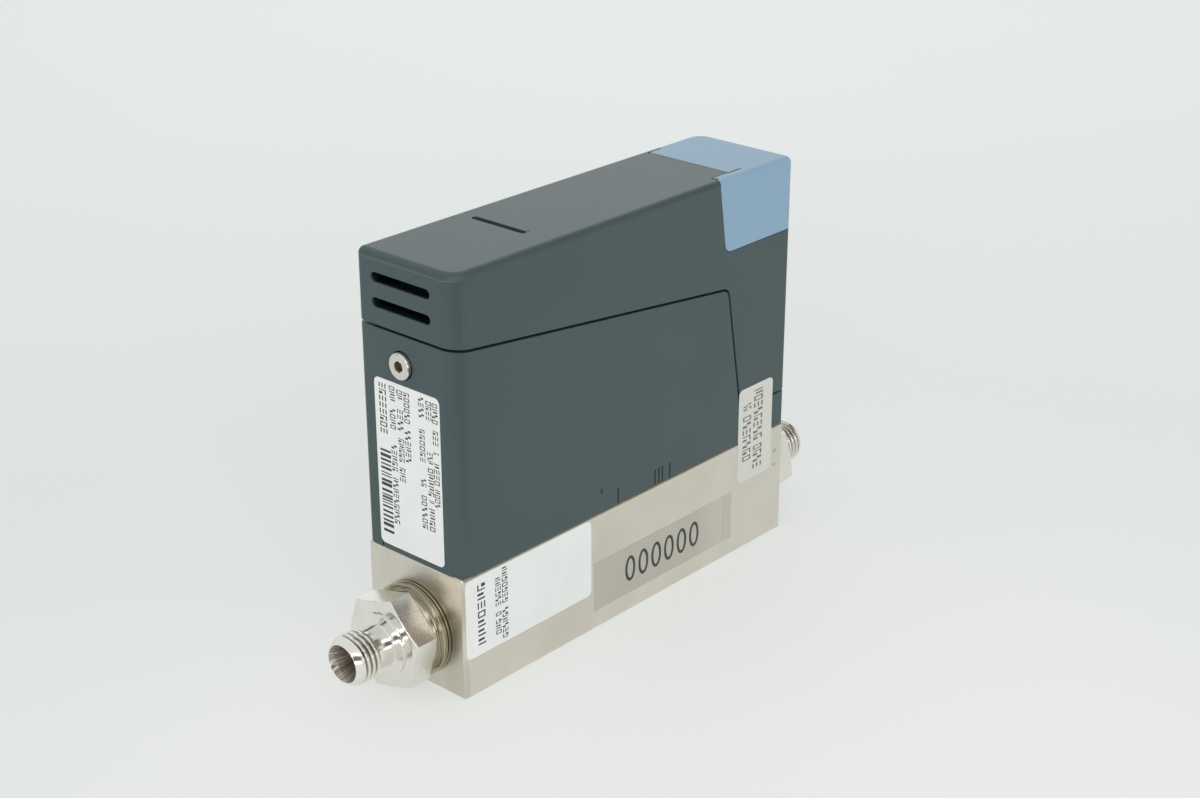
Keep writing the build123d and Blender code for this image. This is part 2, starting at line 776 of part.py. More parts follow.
def below_seam(shift):
    """Everything under the seam between the case halves, moved up by shift."""
    corner = (seam_corner_x, seam_corner_height)
    near_x, far_x = case_x_low - cut_margin, case_x_high + cut_margin
    points = [
        (near_x, -cut_margin), (near_x, seam_near_height), (case_x_low, seam_near_height),
        corner, (seam_foot_x, seam_far_height), (far_x, seam_far_height), (far_x, -cut_margin),
    ]
    region = side_profile(points, seam_corner_radius, corner)
    if shift:
        region = offset(region, shift, kind=Kind.INTERSECTION)
    return extrude(Plane.XZ * region, block_width, both=True)


def lower_housing():
    body = case_form(0, block_height) - case_form(case_wall, block_height)
    body &= below_seam(-seam_gap / 2)
    lip_inner = case_form(case_wall + seam_lip_thickness, block_height)
    root = case_form(case_wall, block_height) - lip_inner
    root &= below_seam(-seam_gap / 2)
    root -= below_seam(-seam_lip_root)
    tongue = case_form(case_wall + seam_clearance, block_height) - lip_inner
    tongue &= below_seam(seam_lip_rise)
    tongue -= below_seam(-seam_lip_root)
    body = body + root + tongue
    body += case_feet()
    body += front_boss()
    body -= front_screw_hole()
    for x in latch_slits_x:
        body -= latch_slit(x)
    slit_range = (front_slit_y - latch_slit_width / 2, front_slit_y + latch_slit_width / 2)
    wall_range = (case_x_low, case_x_low + case_wall)
    body -= block_between(wall_range, slit_range, (block_height, block_height + front_slit_height))
    return body


def case_feet():
    """Inner feet that screw down on the block."""
    feet = Part()
    half = foot_length / 2
    for x in foot_screws_x():
        x_range = (x - half - case_wall / 2, x + half) if x < 0 else (x - half, x + half + case_wall / 2)
        z_range = (block_height, block_height + foot_thickness)
        foot = block_between(x_range, (-foot_width / 2, foot_width / 2), z_range)
        hole = m3_thread_radius + screw_hole_clearance
        feet += foot - upright_bore(x, 0, z_range, hole)
    return feet


def front_boss():
    """Boss behind the front wall that the screw clamps against the tab."""
    x_range = (case_x_low + case_wall / 2, front_tab_x_low())
    radius = m3_thread_radius + screw_hole_clearance + front_boss_wall
    return lengthwise_bore(x_range, front_screw_y, front_screw_z, radius)


def front_screw_hole():
    head = front_screw_head_radius + screw_hole_clearance
    hole = m3_thread_radius + screw_hole_clearance
    seat_x = case_x_low + front_screw_seat_depth
    opening = lengthwise_bore((case_x_low, seat_x), front_screw_y, front_screw_z, head)
    through = lengthwise_bore((seat_x, front_tab_x_low()), front_screw_y, front_screw_z, hole)
    return opening + through


def latch_slit(x):
    half = latch_slit_width / 2
    y_range = (-case_half_width, -case_half_width + case_wall)
    return block_between((x - half, x + half), y_range, (block_height, block_height + latch_slit_height))


def front_tab_x_low():
    return case_x_low + case_wall + seam_lip_thickness + seam_clearance


def upper_housing():
    body = case_form(0, block_height) - case_form(case_wall, block_height)
    body -= below_seam(seam_gap / 2)
    body -= cap_region(cap_gap)
    body -= cap_reliefs()
    for height in vent_heights:
        body -= vent_slot(height)
    body -= thumb_groove()
    body += front_tab()
    body -= connector_cutout()
    return body


def front_tab():
    """Tab behind the front wall that takes the screw."""
    inset = case_wall / 2
    bridge_low = seam_near_height + seam_lip_rise + seam_clearance + seam_gap / 2
    bridge_high = vent_heights[0] - vent_height / 2 - front_tab_gap
    y_range = (front_screw_y - front_tab_width / 2, front_screw_y + front_tab_width / 2)
    x_high = front_tab_x_low() + front_tab_thickness
    bridge = block_between((case_x_low + inset, x_high), y_range, (bridge_low, bridge_high))
    tab_low = front_screw_z - front_tab_drop
    tab = block_between((front_tab_x_low(), x_high), y_range, (tab_low, bridge_high))
    pocket = (front_tab_x_low(), front_tab_x_low() + insert_length)
    tab -= lengthwise_bore(pocket, front_screw_y, front_screw_z, insert_radius)
    through = lengthwise_bore((pocket[1], x_high), front_screw_y, front_screw_z, m3_thread_radius)
    return bridge + tab - through


def vent_slot(height):
    outline = SlotOverall(vent_length, vent_height)
    slot = Pos(case_x_low, vent_center_y, height) * (Plane.YZ * outline)
    return extrude(slot, 2 * case_wall, both=True)


def thumb_groove():
    """Straight thumbnail groove across the lid, with the pit beside its end."""
    outline = Rot(0, 0, 90) * SlotOverall(thumb_groove_length, thumb_groove_width)
    low = case_top - thumb_groove_depth
    groove = Pos(thumb_groove_x, thumb_groove_center_y, low) * extrude(outline, thumb_groove_depth)
    mark_x = thumb_groove_x + gate_mark_offset_x
    mark_y = thumb_groove_center_y + gate_mark_offset_y
    return groove + upright_bore(mark_x, mark_y, (low, case_top), gate_mark_radius)


def front_screw():
    length = case_wall + 2 * insert_length
    height = front_screw_seat_depth + front_screw_rise
    screw = socket_screw(m3_thread_radius, front_screw_head_radius, height, m3_key, length)
    place = Pos(case_x_low + front_screw_seat_depth, front_screw_y, front_screw_z)
    return place * Rot(0, -90, 0) * screw


def front_insert():
    x_range = (front_tab_x_low(), front_tab_x_low() + insert_length)
    insert = lengthwise_bore(x_range, front_screw_y, front_screw_z, insert_radius)
    hole = m3_thread_radius
    return insert - lengthwise_bore(x_range, front_screw_y, front_screw_z, hole)


def case_screws():
    length = foot_thickness + screw_grip - screw_end_gap
    screw = socket_screw(m3_thread_radius, m3_head_radius, m3_head_height, m3_key, length)
    height = block_height + foot_thickness
    return Compound([Pos(x, 0, height) * screw for x in foot_screws_x()])


# ---------------------------------------------------------------- end cap

def cap_outline(grow):
    """Side view of the cap: its wing has a rounded foot and leans back over the top edge."""
    foot_corner = (cap_wing_foot_x, cap_foot_height)
    shoulder = (cap_wing_top_x, case_top - case_top_radius)
    far_x = case_x_high + cut_margin
    above = case_top + cut_margin
    points = [
        (far_x, cap_foot_height), foot_corner, shoulder,
        (cap_wing_tip_x, case_top), (cap_wing_tip_x, above), (far_x, above),
    ]
    region = side_profile(points, cap_wing_corner, foot_corner)
    if grow:
        region = offset(region, grow, kind=Kind.INTERSECTION)
    return extrude(Plane.XZ * region, block_width, both=True)


def cap_region(grow):
    """Space that the cap and its gap take out of the case."""
    shell = case_form(0, block_height) - case_form(cap_thickness, block_height)
    above = case_top + cut_margin
    y_range = (cap_wing_y + grow, cap_strip_y + 2 * grow)
    z_range = (case_top - 2 * cap_thickness, above)
    cover = block_between((-cut_margin, cap_edge_x - grow), y_range, z_range)
    y_range = (cap_strip_y + grow, block_width)
    z_range = (case_top - case_top_radius + grow, above)
    strip = block_between((-cut_margin, cap_slit_end_x - grow), y_range, z_range)
    return (shell & cap_outline(grow)) - cover - strip


def cap_reliefs():
    """Holes at the tip of the wing and at the corner of the top edge beside the strip."""
    places = ((cap_wing_tip_x, cap_wing_y), (cap_edge_x, cap_strip_y))
    z_range = (case_top - cap_thickness, case_top)
    return Compound([upright_bore(x, y, z_range, cap_relief_radius) for x, y in places])


def end_cap():
    half = cap_slit_width / 2
    y_range = (cap_wing_y - half, cap_wing_y + half)
    slit = block_between((cap_edge_x, cap_slit_end_x), y_range, (case_top - cap_thickness, case_top))
    return cap_region(0) - slit - cap_reliefs()


# ---------------------------------------------------------------- electronics

def board_bracket():
    foot_range = (block_height, block_height + bracket_thickness)
    x_range = (bracket_x - bracket_width / 2, bracket_x + bracket_width / 2)
    foot = block_between(x_range, (board_y - bracket_foot_width, board_y), foot_range)
    upright_y = (board_y - bracket_thickness, board_y)
    upright = block_between(x_range, upright_y, (block_height, bracket_top))
    body = foot + upright
    for y in bracket_screws_y():
        body -= upright_bore(bracket_x, y, foot_range, m3_thread_radius + screw_hole_clearance)
    for height in board_screw_heights:
        body -= crosswise_bore(bracket_x, upright_y, height, board_screw_radius)
    return body


def bracket_screws():
    length = bracket_thickness + screw_grip - screw_end_gap
    screw = socket_screw(m3_thread_radius, m3_head_radius, m3_head_height, m3_key, length)
    height = block_height + bracket_thickness
    return Compound([Pos(bracket_x, y, height) * screw for y in bracket_screws_y()])


def main_board():
    x_range, z_range = (board_x_low, board_x_high), (board_z_low, board_z_high)
    body = block_between(x_range, (board_y, board_face), z_range)
    body = fillet(body.edges().filter_by(Axis.Y), board_corner)
    for height in board_screw_heights:
        hole = board_screw_radius + screw_hole_clearance
        body -= crosswise_bore(bracket_x, (board_y, board_face), height, hole)
    return body


def board_screws():
    length = board_thickness + bracket_thickness
    head = (board_screw_head_radius, board_screw_head_height, board_screw_key)
    screw = socket_screw(board_screw_radius, *head, length)
    screws = [Pos(bracket_x, board_face, z) * Rot(-90, 0, 0) * screw for z in board_screw_heights]
    return Compound(screws)


def on_board(x, z):
    """Place on the board's component side; the piece is drawn along +Z."""
    return Pos(x, board_y, z) * Rot(90, 0, 0)


def near_upper_place(x, z):
    """Position at distances along and down from the board's near upper corner."""
    return board_x_low + x, board_z_high - z


def board_capacitors():
    can = upright_bore(0, 0, (0, capacitor_height), capacitor_radius)
    can = chamfer(can.edges().filter_by(GeomType.CIRCLE), capacitor_edge)
    return Compound([on_board(*near_upper_place(x, z)) * can for x, z in capacitor_offsets])


def board_chips():
    chips = []
    for (length, width), (x, z) in zip(chip_sizes, chip_offsets):
        chip = Pos(0, 0, chip_height / 2) * Box(length, width, chip_height)
        chip = chamfer(chip.faces().sort_by(Axis.Z)[-1].edges(), machined_edge)
        chips.append(on_board(*near_upper_place(x, z)) * chip)
    return Compound(chips)


def board_headers():
    headers = []
    places = (
        (flex_x, sensor_header_z, sensor_header_length),
        (coil_header_x, coil_header_z, coil_header_length),
    )
    for x, z, length in places:
        shroud = Pos(0, 0, header_depth / 2) * Box(length, header_height, header_depth)
        headers.append(on_board(x, z) * fillet(shroud.edges().filter_by(Axis.Z), header_corner))
    return Compound(headers)


def sensor_flex():
    """Flat cable from the sensor board up to its header on the main board."""
    floor = sensor_top + sensor_board_thickness
    wall_y = board_y - header_depth / 2
    header_z = sensor_header_z - header_height / 2
    bend = flex_bend_radius
    inner_y, inner_z = wall_y - flex_thickness, floor + flex_thickness
    outer = [(0, floor), (wall_y, floor), (wall_y, header_z)]
    inner = [(0, inner_z), (inner_y, inner_z), (inner_y, header_z)]
    strip = make_face(Polyline(*outer, *reversed(inner), close=True))
    strip = fillet(strip.vertices().sort_by_distance((wall_y, floor, 0))[0], bend)
    strip = fillet(strip.vertices().sort_by_distance((inner_y, inner_z, 0))[0], bend - flex_thickness)
    band = extrude(Plane.YZ * strip, flex_width / 2, both=True)
    return Pos(flex_x, 0, 0) * band


# ---------------------------------------------------------------- signal connector

def connector_face_outline(grow):
    """D-shaped outline, wide side towards -Y, drawn in the (y, z) plane of the end face."""
    half_wide = connector_shell_length / 2 + grow
    half_high = connector_shell_width / 2 + grow
    draw_in = 2 * half_high * math.tan(math.radians(connector_taper))
    points = [
        (-half_high, -half_wide), (half_high, -half_wide + draw_in),
        (half_high, half_wide - draw_in), (-half_high, half_wide),
    ]
    outline = make_face(Polyline(*points, close=True))
    return fillet(outline.vertices(), max(connector_corner + grow, connector_least_corner))


def on_end_face(outline, x_range):
    placed = Pos(x_range[0], 0, connector_z) * (Plane.YZ * outline)
    return extrude(placed, x_range[1] - x_range[0])


def connector_screw_heights():
    reach = connector_screw_spacing / 2
    return [connector_z - reach, connector_z + reach]


def connector_cutout():
    wall = (connector_face - case_wall, connector_face)
    opening = on_end_face(connector_face_outline(connector_opening_gap), wall)
    for height in connector_screw_heights():
        opening += lengthwise_bore(wall, 0, height, m3_thread_radius)
    return opening


def connector_shell():
    """Pressed steel flange with the D-shaped skirt."""
    flange_x = (connector_face, connector_face + connector_flange_thickness)
    y_half = connector_flange_width / 2
    z_half = connector_flange_length / 2
    z_range = (connector_z - z_half, connector_z + z_half)
    flange = block_between(flange_x, (-y_half, y_half), z_range)
    flange = fillet(flange.edges().filter_by(Axis.X), connector_flange_corner)
    skirt_x = (connector_face, connector_face + connector_shell_reach)
    body = flange + on_end_face(connector_face_outline(0), skirt_x)
    body -= on_end_face(connector_face_outline(-connector_shell_wall), skirt_x)
    for height in connector_screw_heights():
        body -= lengthwise_bore(flange_x, 0, height, m3_thread_radius)
    return body


def contact_places():
    """Nine contacts: five in the wide row, four in the other."""
    places = []
    for count, y in ((5, -connector_row_pitch / 2), (4, connector_row_pitch / 2)):
        for index in range(count):
            z = connector_z + (index - (count - 1) / 2) * connector_pitch
            places.append((y, z))
    return places


def connector_insulator():
    front = connector_face + connector_shell_reach - connector_recess
    back = connector_face - connector_body_depth
    body = on_end_face(connector_face_outline(-connector_shell_wall), (connector_face, front))
    body += on_end_face(connector_face_outline(connector_shoulder), (back, connector_face))
    for y, z in contact_places():
        body -= lengthwise_bore((back, front), y, z, connector_contact_radius)
    return body


def contact_bend_x(y):
    """Where the tail of a contact turns down to the board, by its row."""
    return connector_face - connector_body_depth - connector_pin_bends[0 if y < 0 else 1]


def connector_contacts():
    """Round sockets in front, square tails bent down on to the board behind."""
    contacts = []
    front = connector_face + connector_shell_reach - connector_contact_recess
    back = connector_face - connector_body_depth
    half = connector_pin_half_width
    overlap = connector_pin_overlap
    for y, z in contact_places():
        socket = lengthwise_bore((back, front), y, z, connector_contact_radius)
        mouth_range = (front - connector_socket_depth, front)
        socket -= lengthwise_bore(mouth_range, y, z, connector_socket_radius)
        bend_x = contact_bend_x(y)
        z_range = (z - half, z + half)
        tail = block_between((bend_x - half, back + overlap), (y - half, y + half), z_range)
        leg_range = (y - half, board_face + overlap)
        leg = block_between((bend_x - half, bend_x + half), leg_range, z_range)
        contacts.append(socket + tail + leg)
    return Compound(contacts)


def board_with_contact_holes(board):
    half = connector_pin_half_width
    for y, z in contact_places():
        x_range = (contact_bend_x(y) - half, contact_bend_x(y) + half)
        board -= block_between(x_range, (board_y, board_face), (z - half, z + half))
    return board


def connector_standoffs():
    standoffs = []
    flange_face = connector_face + connector_flange_thickness
    tail_radius = m3_thread_radius - sliding_clearance
    for height in connector_screw_heights():
        hexagon = chamfered_hexagon(standoff_flats, 0, standoff_length)
        post = hexagon + upright_bore(0, 0, (-case_wall - connector_flange_thickness, 0), tail_radius)
        tapped = (standoff_length - standoff_thread_depth, standoff_length)
        post -= upright_bore(0, 0, tapped, standoff_thread_radius)
        standoffs.append(Pos(flange_face, 0, height) * Rot(0, 90, 0) * post)
    return Compound(standoffs)


# ---------------------------------------------------------------- labels

def rounded_plate(u_range, v_range, thickness):
    """Plate in its own plane, u across and v up, with its back at zero."""
    width, height = u_range[1] - u_range[0], v_range[1] - v_range[0]
    plate = RectangleRounded(width, height, label_corner)
    return Pos(sum(u_range) / 2, sum(v_range) / 2, 0) * extrude(plate, thickness)


def front_label():
    u_range = (-front_label_y[1], -front_label_y[0])
    plate = rounded_plate(u_range, front_label_z, label_thickness)
    return Plane(origin=(case_x_low, 0, 0), x_dir=(0, -1, 0), z_dir=(-1, 0, 0)) * plate


def side_label(x_range, z_range):
    plate = rounded_plate(x_range, z_range, label_thickness)
    return Plane(origin=(0, -half_width, 0), x_dir=(1, 0, 0), z_dir=(0, -1, 0)) * plate


def seal_label():
    """Seal across the joint: its upper part also bears on the case."""
    plate = side_label(seal_label_x, seal_label_z)
    upper = block_between(seal_label_x, (-half_width, -case_half_width), (block_height, seal_label_z[1]))
    upper = fillet(upper.edges().filter_by(Axis.Y).sort_by(Axis.Z)[-2:], label_corner)
    return plate + upper


pieces = {
    "base_block": base_block(),
    "inlet_fitting": on_port(tube_fitting(), -1),
    "outlet_fitting": on_port(tube_fitting(), 1),
    "inlet_seal_ring": on_port(seal_ring(), -1),
    "outlet_seal_ring": on_port(seal_ring(), 1),
    "inlet_seal_rubber": on_port(seal_rubber(), -1),
    "outlet_seal_rubber": on_port(seal_rubber(), 1),
    "inlet_filter": inlet_filter(),
    "flow_element": flow_element(),
    "sensor_gasket": sensor_gasket(),
    "sensor_body": sensor_body(),
    "sensor_board": sensor_board(),
    "sensor_screws": sensor_screws(),
    "orifice": orifice(),
    "valve_plunger": valve_plunger(),
    "seat_pad": seat_pad(),
    "core_tube": core_tube(),
    "valve_o_ring": valve_o_ring(),
    "valve_screws": valve_screws(),
    "valve_spring": valve_spring(),
    "coil_yoke": coil_yoke(),
    "coil_bobbin": coil_bobbin(),
    "coil_winding": coil_winding(),
    "coil_nut": coil_nut(),
    "lower_housing": lower_housing(),
    "upper_housing": upper_housing(),
    "end_cap": end_cap(),
    "front_screw": front_screw(),
    "front_insert": front_insert(),
    "case_screws": case_screws(),
    "board_bracket": board_bracket(),
    "bracket_screws": bracket_screws(),
    "main_board": board_with_contact_holes(main_board()),
    "board_screws": board_screws(),
    "board_capacitors": board_capacitors(),
    "board_chips": board_chips(),
    "board_headers": board_headers(),
    "sensor_flex": sensor_flex(),
    "connector_shell": connector_shell(),
    "connector_insulator": connector_insulator(),
    "connector_contacts": connector_contacts(),
    "connector_standoffs": connector_standoffs(),
    "front_label": front_label(),
    "block_label": side_label(block_label_x, block_label_z),
    "tape_label": side_label(tape_label_x, tape_label_z),
    "seal_label": seal_label(),
}

os.makedirs("parts", exist_ok=True)
for name, shape in pieces.items():
    export_step(shape, f"parts/{name}.step")
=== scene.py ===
import bpy
import bmesh
import json
import math
import random
from mathutils import Matrix, Vector


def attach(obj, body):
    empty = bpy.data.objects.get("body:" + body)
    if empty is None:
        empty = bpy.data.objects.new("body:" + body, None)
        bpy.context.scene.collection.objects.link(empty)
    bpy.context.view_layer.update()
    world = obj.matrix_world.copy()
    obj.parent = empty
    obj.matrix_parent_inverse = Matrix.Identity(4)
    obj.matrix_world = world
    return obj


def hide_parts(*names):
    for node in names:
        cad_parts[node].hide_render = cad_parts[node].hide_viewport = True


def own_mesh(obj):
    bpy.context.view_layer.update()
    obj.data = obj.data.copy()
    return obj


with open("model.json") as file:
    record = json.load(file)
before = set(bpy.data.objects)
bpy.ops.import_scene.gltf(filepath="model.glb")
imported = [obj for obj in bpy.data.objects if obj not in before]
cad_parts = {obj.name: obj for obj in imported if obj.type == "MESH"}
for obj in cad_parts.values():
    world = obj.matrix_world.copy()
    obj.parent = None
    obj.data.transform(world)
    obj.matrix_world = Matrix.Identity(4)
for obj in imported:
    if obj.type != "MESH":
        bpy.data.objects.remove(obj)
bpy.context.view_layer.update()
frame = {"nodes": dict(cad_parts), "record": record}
print("frame loaded:", len(frame["nodes"]), "nodes")

mm = 0.001
gasAxisHeight = 12.5 * mm      # the fittings' axis above the underside
blockHalfLength = 53.5 * mm


def addNode(tree, kind, **settings):
    node = tree.nodes.new(kind)
    for key, value in settings.items():
        setattr(node, key, value)
    return node


def join(tree, fromSocket, toSocket):
    tree.links.new(fromSocket, toSocket)


def calc(tree, kind, *values, clamp=False):
    # one Math node; a value is a number or a socket
    node = addNode(tree, "ShaderNodeMath", operation=kind, use_clamp=clamp)
    for i, value in enumerate(values):
        if isinstance(value, (int, float)):
            node.inputs[i].default_value = value
        else:
            join(tree, value, node.inputs[i])
    return node.outputs[0]


def times(tree, *values):
    result = values[0]
    for value in values[1:]:
        result = calc(tree, "MULTIPLY", result, value)
    return result


def within(tree, value, low, high):
    # 1 where the value lies between low and high
    return times(tree, calc(tree, "GREATER_THAN", value, low), calc(tree, "LESS_THAN", value, high))


def newMaterial(name, colour, metal=0.0, rough=0.5):
    material = bpy.data.materials.new(name)
    material.use_nodes = True
    shader = material.node_tree.nodes["Principled BSDF"]
    shader.inputs["Base Color"].default_value = (*colour, 1)
    shader.inputs["Metallic"].default_value = metal
    shader.inputs["Roughness"].default_value = rough
    material.diffuse_color = (*colour, 1)
    return material, material.node_tree, shader


def objectPlace(tree, shift=(0, 0, 0)):
    where = addNode(tree, "ShaderNodeTexCoord")
    mapping = addNode(tree, "ShaderNodeMapping")
    mapping.inputs["Location"].default_value = shift
    join(tree, where.outputs["Object"], mapping.inputs["Vector"])
    return mapping.outputs["Vector"]


def split(tree, vector):
    parts = addNode(tree, "ShaderNodeSeparateXYZ")
    join(tree, vector, parts.inputs["Vector"])
    return parts.outputs


def gather(tree, *values):
    parts = addNode(tree, "ShaderNodeCombineXYZ")
    for i, value in enumerate(values):
        if not isinstance(value, (int, float)):
            join(tree, value, parts.inputs[i])
    return parts.outputs["Vector"]


def grain(tree, place, scale, detail=3.0, rough=0.5, distortion=0.0):
    noise = addNode(tree, "ShaderNodeTexNoise")
    noise.inputs["Scale"].default_value = scale
    noise.inputs["Detail"].default_value = detail
    noise.inputs["Roughness"].default_value = rough
    noise.inputs["Distortion"].default_value = distortion
    join(tree, place, noise.inputs["Vector"])
    return noise.outputs["Fac"]


def spread(tree, value, low, high, fromLow=0.3, fromHigh=0.7, smooth=False):
    ranger = addNode(tree, "ShaderNodeMapRange", interpolation_type="SMOOTHSTEP" if smooth else "LINEAR")
    ranger.inputs["From Min"].default_value = fromLow
    ranger.inputs["From Max"].default_value = fromHigh
    ranger.inputs["To Min"].default_value = low
    ranger.inputs["To Max"].default_value = high
    join(tree, value, ranger.inputs["Value"])
    return ranger.outputs["Result"]


def blendColour(tree, value, dark, light, low=0.3, high=0.7):
    ramp = addNode(tree, "ShaderNodeValToRGB")
    ramp.color_ramp.elements[0].position = low
    ramp.color_ramp.elements[0].color = (*dark, 1)
    ramp.color_ramp.elements[1].position = high
    ramp.color_ramp.elements[1].color = (*light, 1)
    join(tree, value, ramp.inputs["Fac"])
    return ramp.outputs["Color"]


def mixColour(tree, factor, colour, other):
    # from colour (a socket) to other (a colour or a socket) where factor is 1
    mix = addNode(tree, "ShaderNodeMix", data_type="RGBA")
    join(tree, factor, mix.inputs["Factor"])
    join(tree, colour, mix.inputs[6])
    if isinstance(other, tuple):
        mix.inputs[7].default_value = (*other, 1)
    else:
        join(tree, other, mix.inputs[7])
    return mix.outputs[2]


def roughen(tree, shader, height, distance, strength=1.0):
    bump = addNode(tree, "ShaderNodeBump")
    bump.inputs["Strength"].default_value = strength
    bump.inputs["Distance"].default_value = distance
    join(tree, height, bump.inputs["Height"])
    join(tree, bump.outputs["Normal"], shader.inputs["Normal"])


def shade(colour, factor):
    return tuple(min(1.0, c * factor) for c in colour)


def spotMask(tree, place, centre, size):
    # 1 in the middle of an ellipsoid with the given half sizes, 0 outside it
    apart = addNode(tree, "ShaderNodeVectorMath", operation="SUBTRACT")
    join(tree, place, apart.inputs[0])
    apart.inputs[1].default_value = [c * mm for c in centre]
    scaled = addNode(tree, "ShaderNodeVectorMath", operation="DIVIDE")
    join(tree, apart.outputs[0], scaled.inputs[0])
    scaled.inputs[1].default_value = [s * mm for s in size]
    far = addNode(tree, "ShaderNodeVectorMath", operation="LENGTH")
    join(tree, scaled.outputs[0], far.inputs[0])
    return spread(tree, far.outputs["Value"], 1, 0, 0.55, 1.0, smooth=True)


def boxMask(tree, xyz, ranges):
    # 1 inside the box with these ranges, in mm
    return times(tree, *(within(tree, value, low * mm, high * mm) for value, (low, high) in zip(xyz, ranges)))


def mouldedPlastic(name, colour, rough=0.5, grainSize=0.30, grainDepth=0.012, mottle=0.05, extra=None):
    # spark-eroded mould skin: fine grain over faint cloudy mottling
    material, tree, shader = newMaterial(name, colour, rough=rough)
    place = objectPlace(tree)
    clouds = grain(tree, place, 55, detail=4)
    skinColour = blendColour(tree, clouds, shade(colour, 1 - mottle), shade(colour, 1 + mottle))
    speck = grain(tree, place, 1 / (grainSize * 1.6 * mm), detail=2, rough=0.7)
    skinColour = mixColour(tree, spread(tree, speck, 0, 0.5, 0.42, 0.75), skinColour, shade(colour, 1.22))
    if extra:
        skinColour = extra(tree, place, skinColour, colour)
    join(tree, skinColour, shader.inputs["Base Color"])
    skin = grain(tree, place, 1 / (grainSize * mm), detail=3, rough=0.6)
    join(tree, spread(tree, skin, rough - 0.05, rough + 0.06), shader.inputs["Roughness"])
    roughen(tree, shader, skin, grainDepth * mm)
    return material


caseMarks = {
    "inside": ((-51.3, 51.3), (-11.8, 11.8), (28.0, 91.6)),      # inside the shells, where no light reaches
    "ventWallShade": ((-52.9, -51.0), (-7.4, 9.9), (81.0, 90.0)),
    "screwSeatShade": ((-53.0, -51.0), (-2.2, 5.4), (67.4, 74.9)),
    "partingHeight": 92.05,           # painted highlight along the fine line left by the mould round the top rounding
    "partingHalf": 0.075,
    "partingEnd": -52.2,              # seen on the narrow face alone
    "partingHighlight": (0.17, 0.205, 0.205),
    "smallDarkSpot": ((-11.0, -13.9, 33.0), (0.62, 0.6, 0.9)),
    "reliefHoleShade": ((28.45, -11.9, 93.4), (0.95, 0.8, 0.7)),      # painted shade in the small hole where the cap's wing starts
}


def caseDetail(tree, place, skinColour, colour):
    x, y, z = split(tree, place)
    m = caseMarks
    result = skinColour
    # painted shade: near black inside the shells, on the vent slots' walls and round the front screw's seat
    for name in ("inside", "ventWallShade", "screwSeatShade"):
        result = mixColour(tree, boxMask(tree, (x, y, z), m[name]), result, shade(colour, 0.12))
    # painted highlight: a lighter line along the mould's parting line, where its fine ledge catches the light
    gap = calc(tree, "ABSOLUTE", calc(tree, "SUBTRACT", z, m["partingHeight"] * mm))
    line = times(tree, calc(tree, "LESS_THAN", gap, m["partingHalf"] * mm),
                 calc(tree, "LESS_THAN", x, m["partingEnd"] * mm))
    result = mixColour(tree, times(tree, line, 0.5), result, m["partingHighlight"])
    # painted shade in the relief hole where the cap's wing starts
    result = mixColour(tree, spotMask(tree, place, *m["reliefHoleShade"]), result, shade(colour, 0.12))
    # a small dark spot on the case's long side
    return mixColour(tree, times(tree, spotMask(tree, place, *m["smallDarkSpot"]), 0.97), result, shade(colour, 0.12))


capSeams = (      # shaded edges where the cap's top meets the case's, and down its slit
    ((33.4, 34.25), (-11.2, 12.1), (92.6, 94.0)),
    ((33.4, 38.3), (-11.3, -10.75), (92.6, 94.0)),
)


def capDetail(tree, place, skinColour, colour):
    result = skinColour
    for seam in capSeams:
        mask = boxMask(tree, split(tree, place), seam)
        result = mixColour(tree, times(tree, mask, 0.85), result, shade(colour, 0.25))
    # painted shade in the relief hole, on the cap
    return mixColour(tree, spotMask(tree, place, *caseMarks["reliefHoleShade"]), result, (0.006, 0.009, 0.010))


def satinSteel(name, colour, rough=0.32, smudge=0.05, depth=0.004):
    # plated or blasted steel: fine grit and cloudy handling marks
    material, tree, shader = newMaterial(name, colour, metal=1.0, rough=rough)
    place = objectPlace(tree)
    clouds = grain(tree, place, 75, detail=5, rough=0.6, distortion=0.6)
    warm = (colour[0] * (1 - smudge), colour[1] * (1 - smudge * 1.15), colour[2] * (1 - smudge * 1.7))
    join(tree, blendColour(tree, clouds, warm, shade(colour, 1 + smudge)), shader.inputs["Base Color"])
    grit = grain(tree, place, 900, detail=4, rough=0.65)
    join(tree, spread(tree, grit, rough - 0.06, rough + 0.08), shader.inputs["Roughness"])
    roughen(tree, shader, grit, depth * mm)
    return material


blockFinish = {
    "colour": (0.745, 0.71, 0.635),
    "rough": 0.34,
    "endFrom": 53.3,                  # the milled end faces start here
    "spots": (      # middle, half sizes, colour, strength: two small dark marks on the long side by the outlet end, then painted reflections and painted shade on the inlet's end face beside the seal
        ((50.5, -14.0, 21.5), (0.9, 1.0, 0.5), (0.22, 0.20, 0.17), 0.45),
        ((50.5, -14.0, 17.8), (0.8, 1.0, 0.45), (0.22, 0.20, 0.17), 0.45),
        ((-53.5, -10.5, 21.5), (2.0, 6.0, 8.5), (0.50, 0.42, 0.33), 0.55),
        ((-53.5, -11.0, 15.0), (2.0, 3.0, 6.5), (0.30, 0.27, 0.21), 0.50),
        ((-53.5, -5.5, 24.5), (2.0, 6.5, 2.2), (0.40, 0.37, 0.29), 0.35),
        ((-53.5, -12.5, 4.0), (2.0, 6.0, 7.0), (0.56, 0.53, 0.45), 0.55),
    ),
}


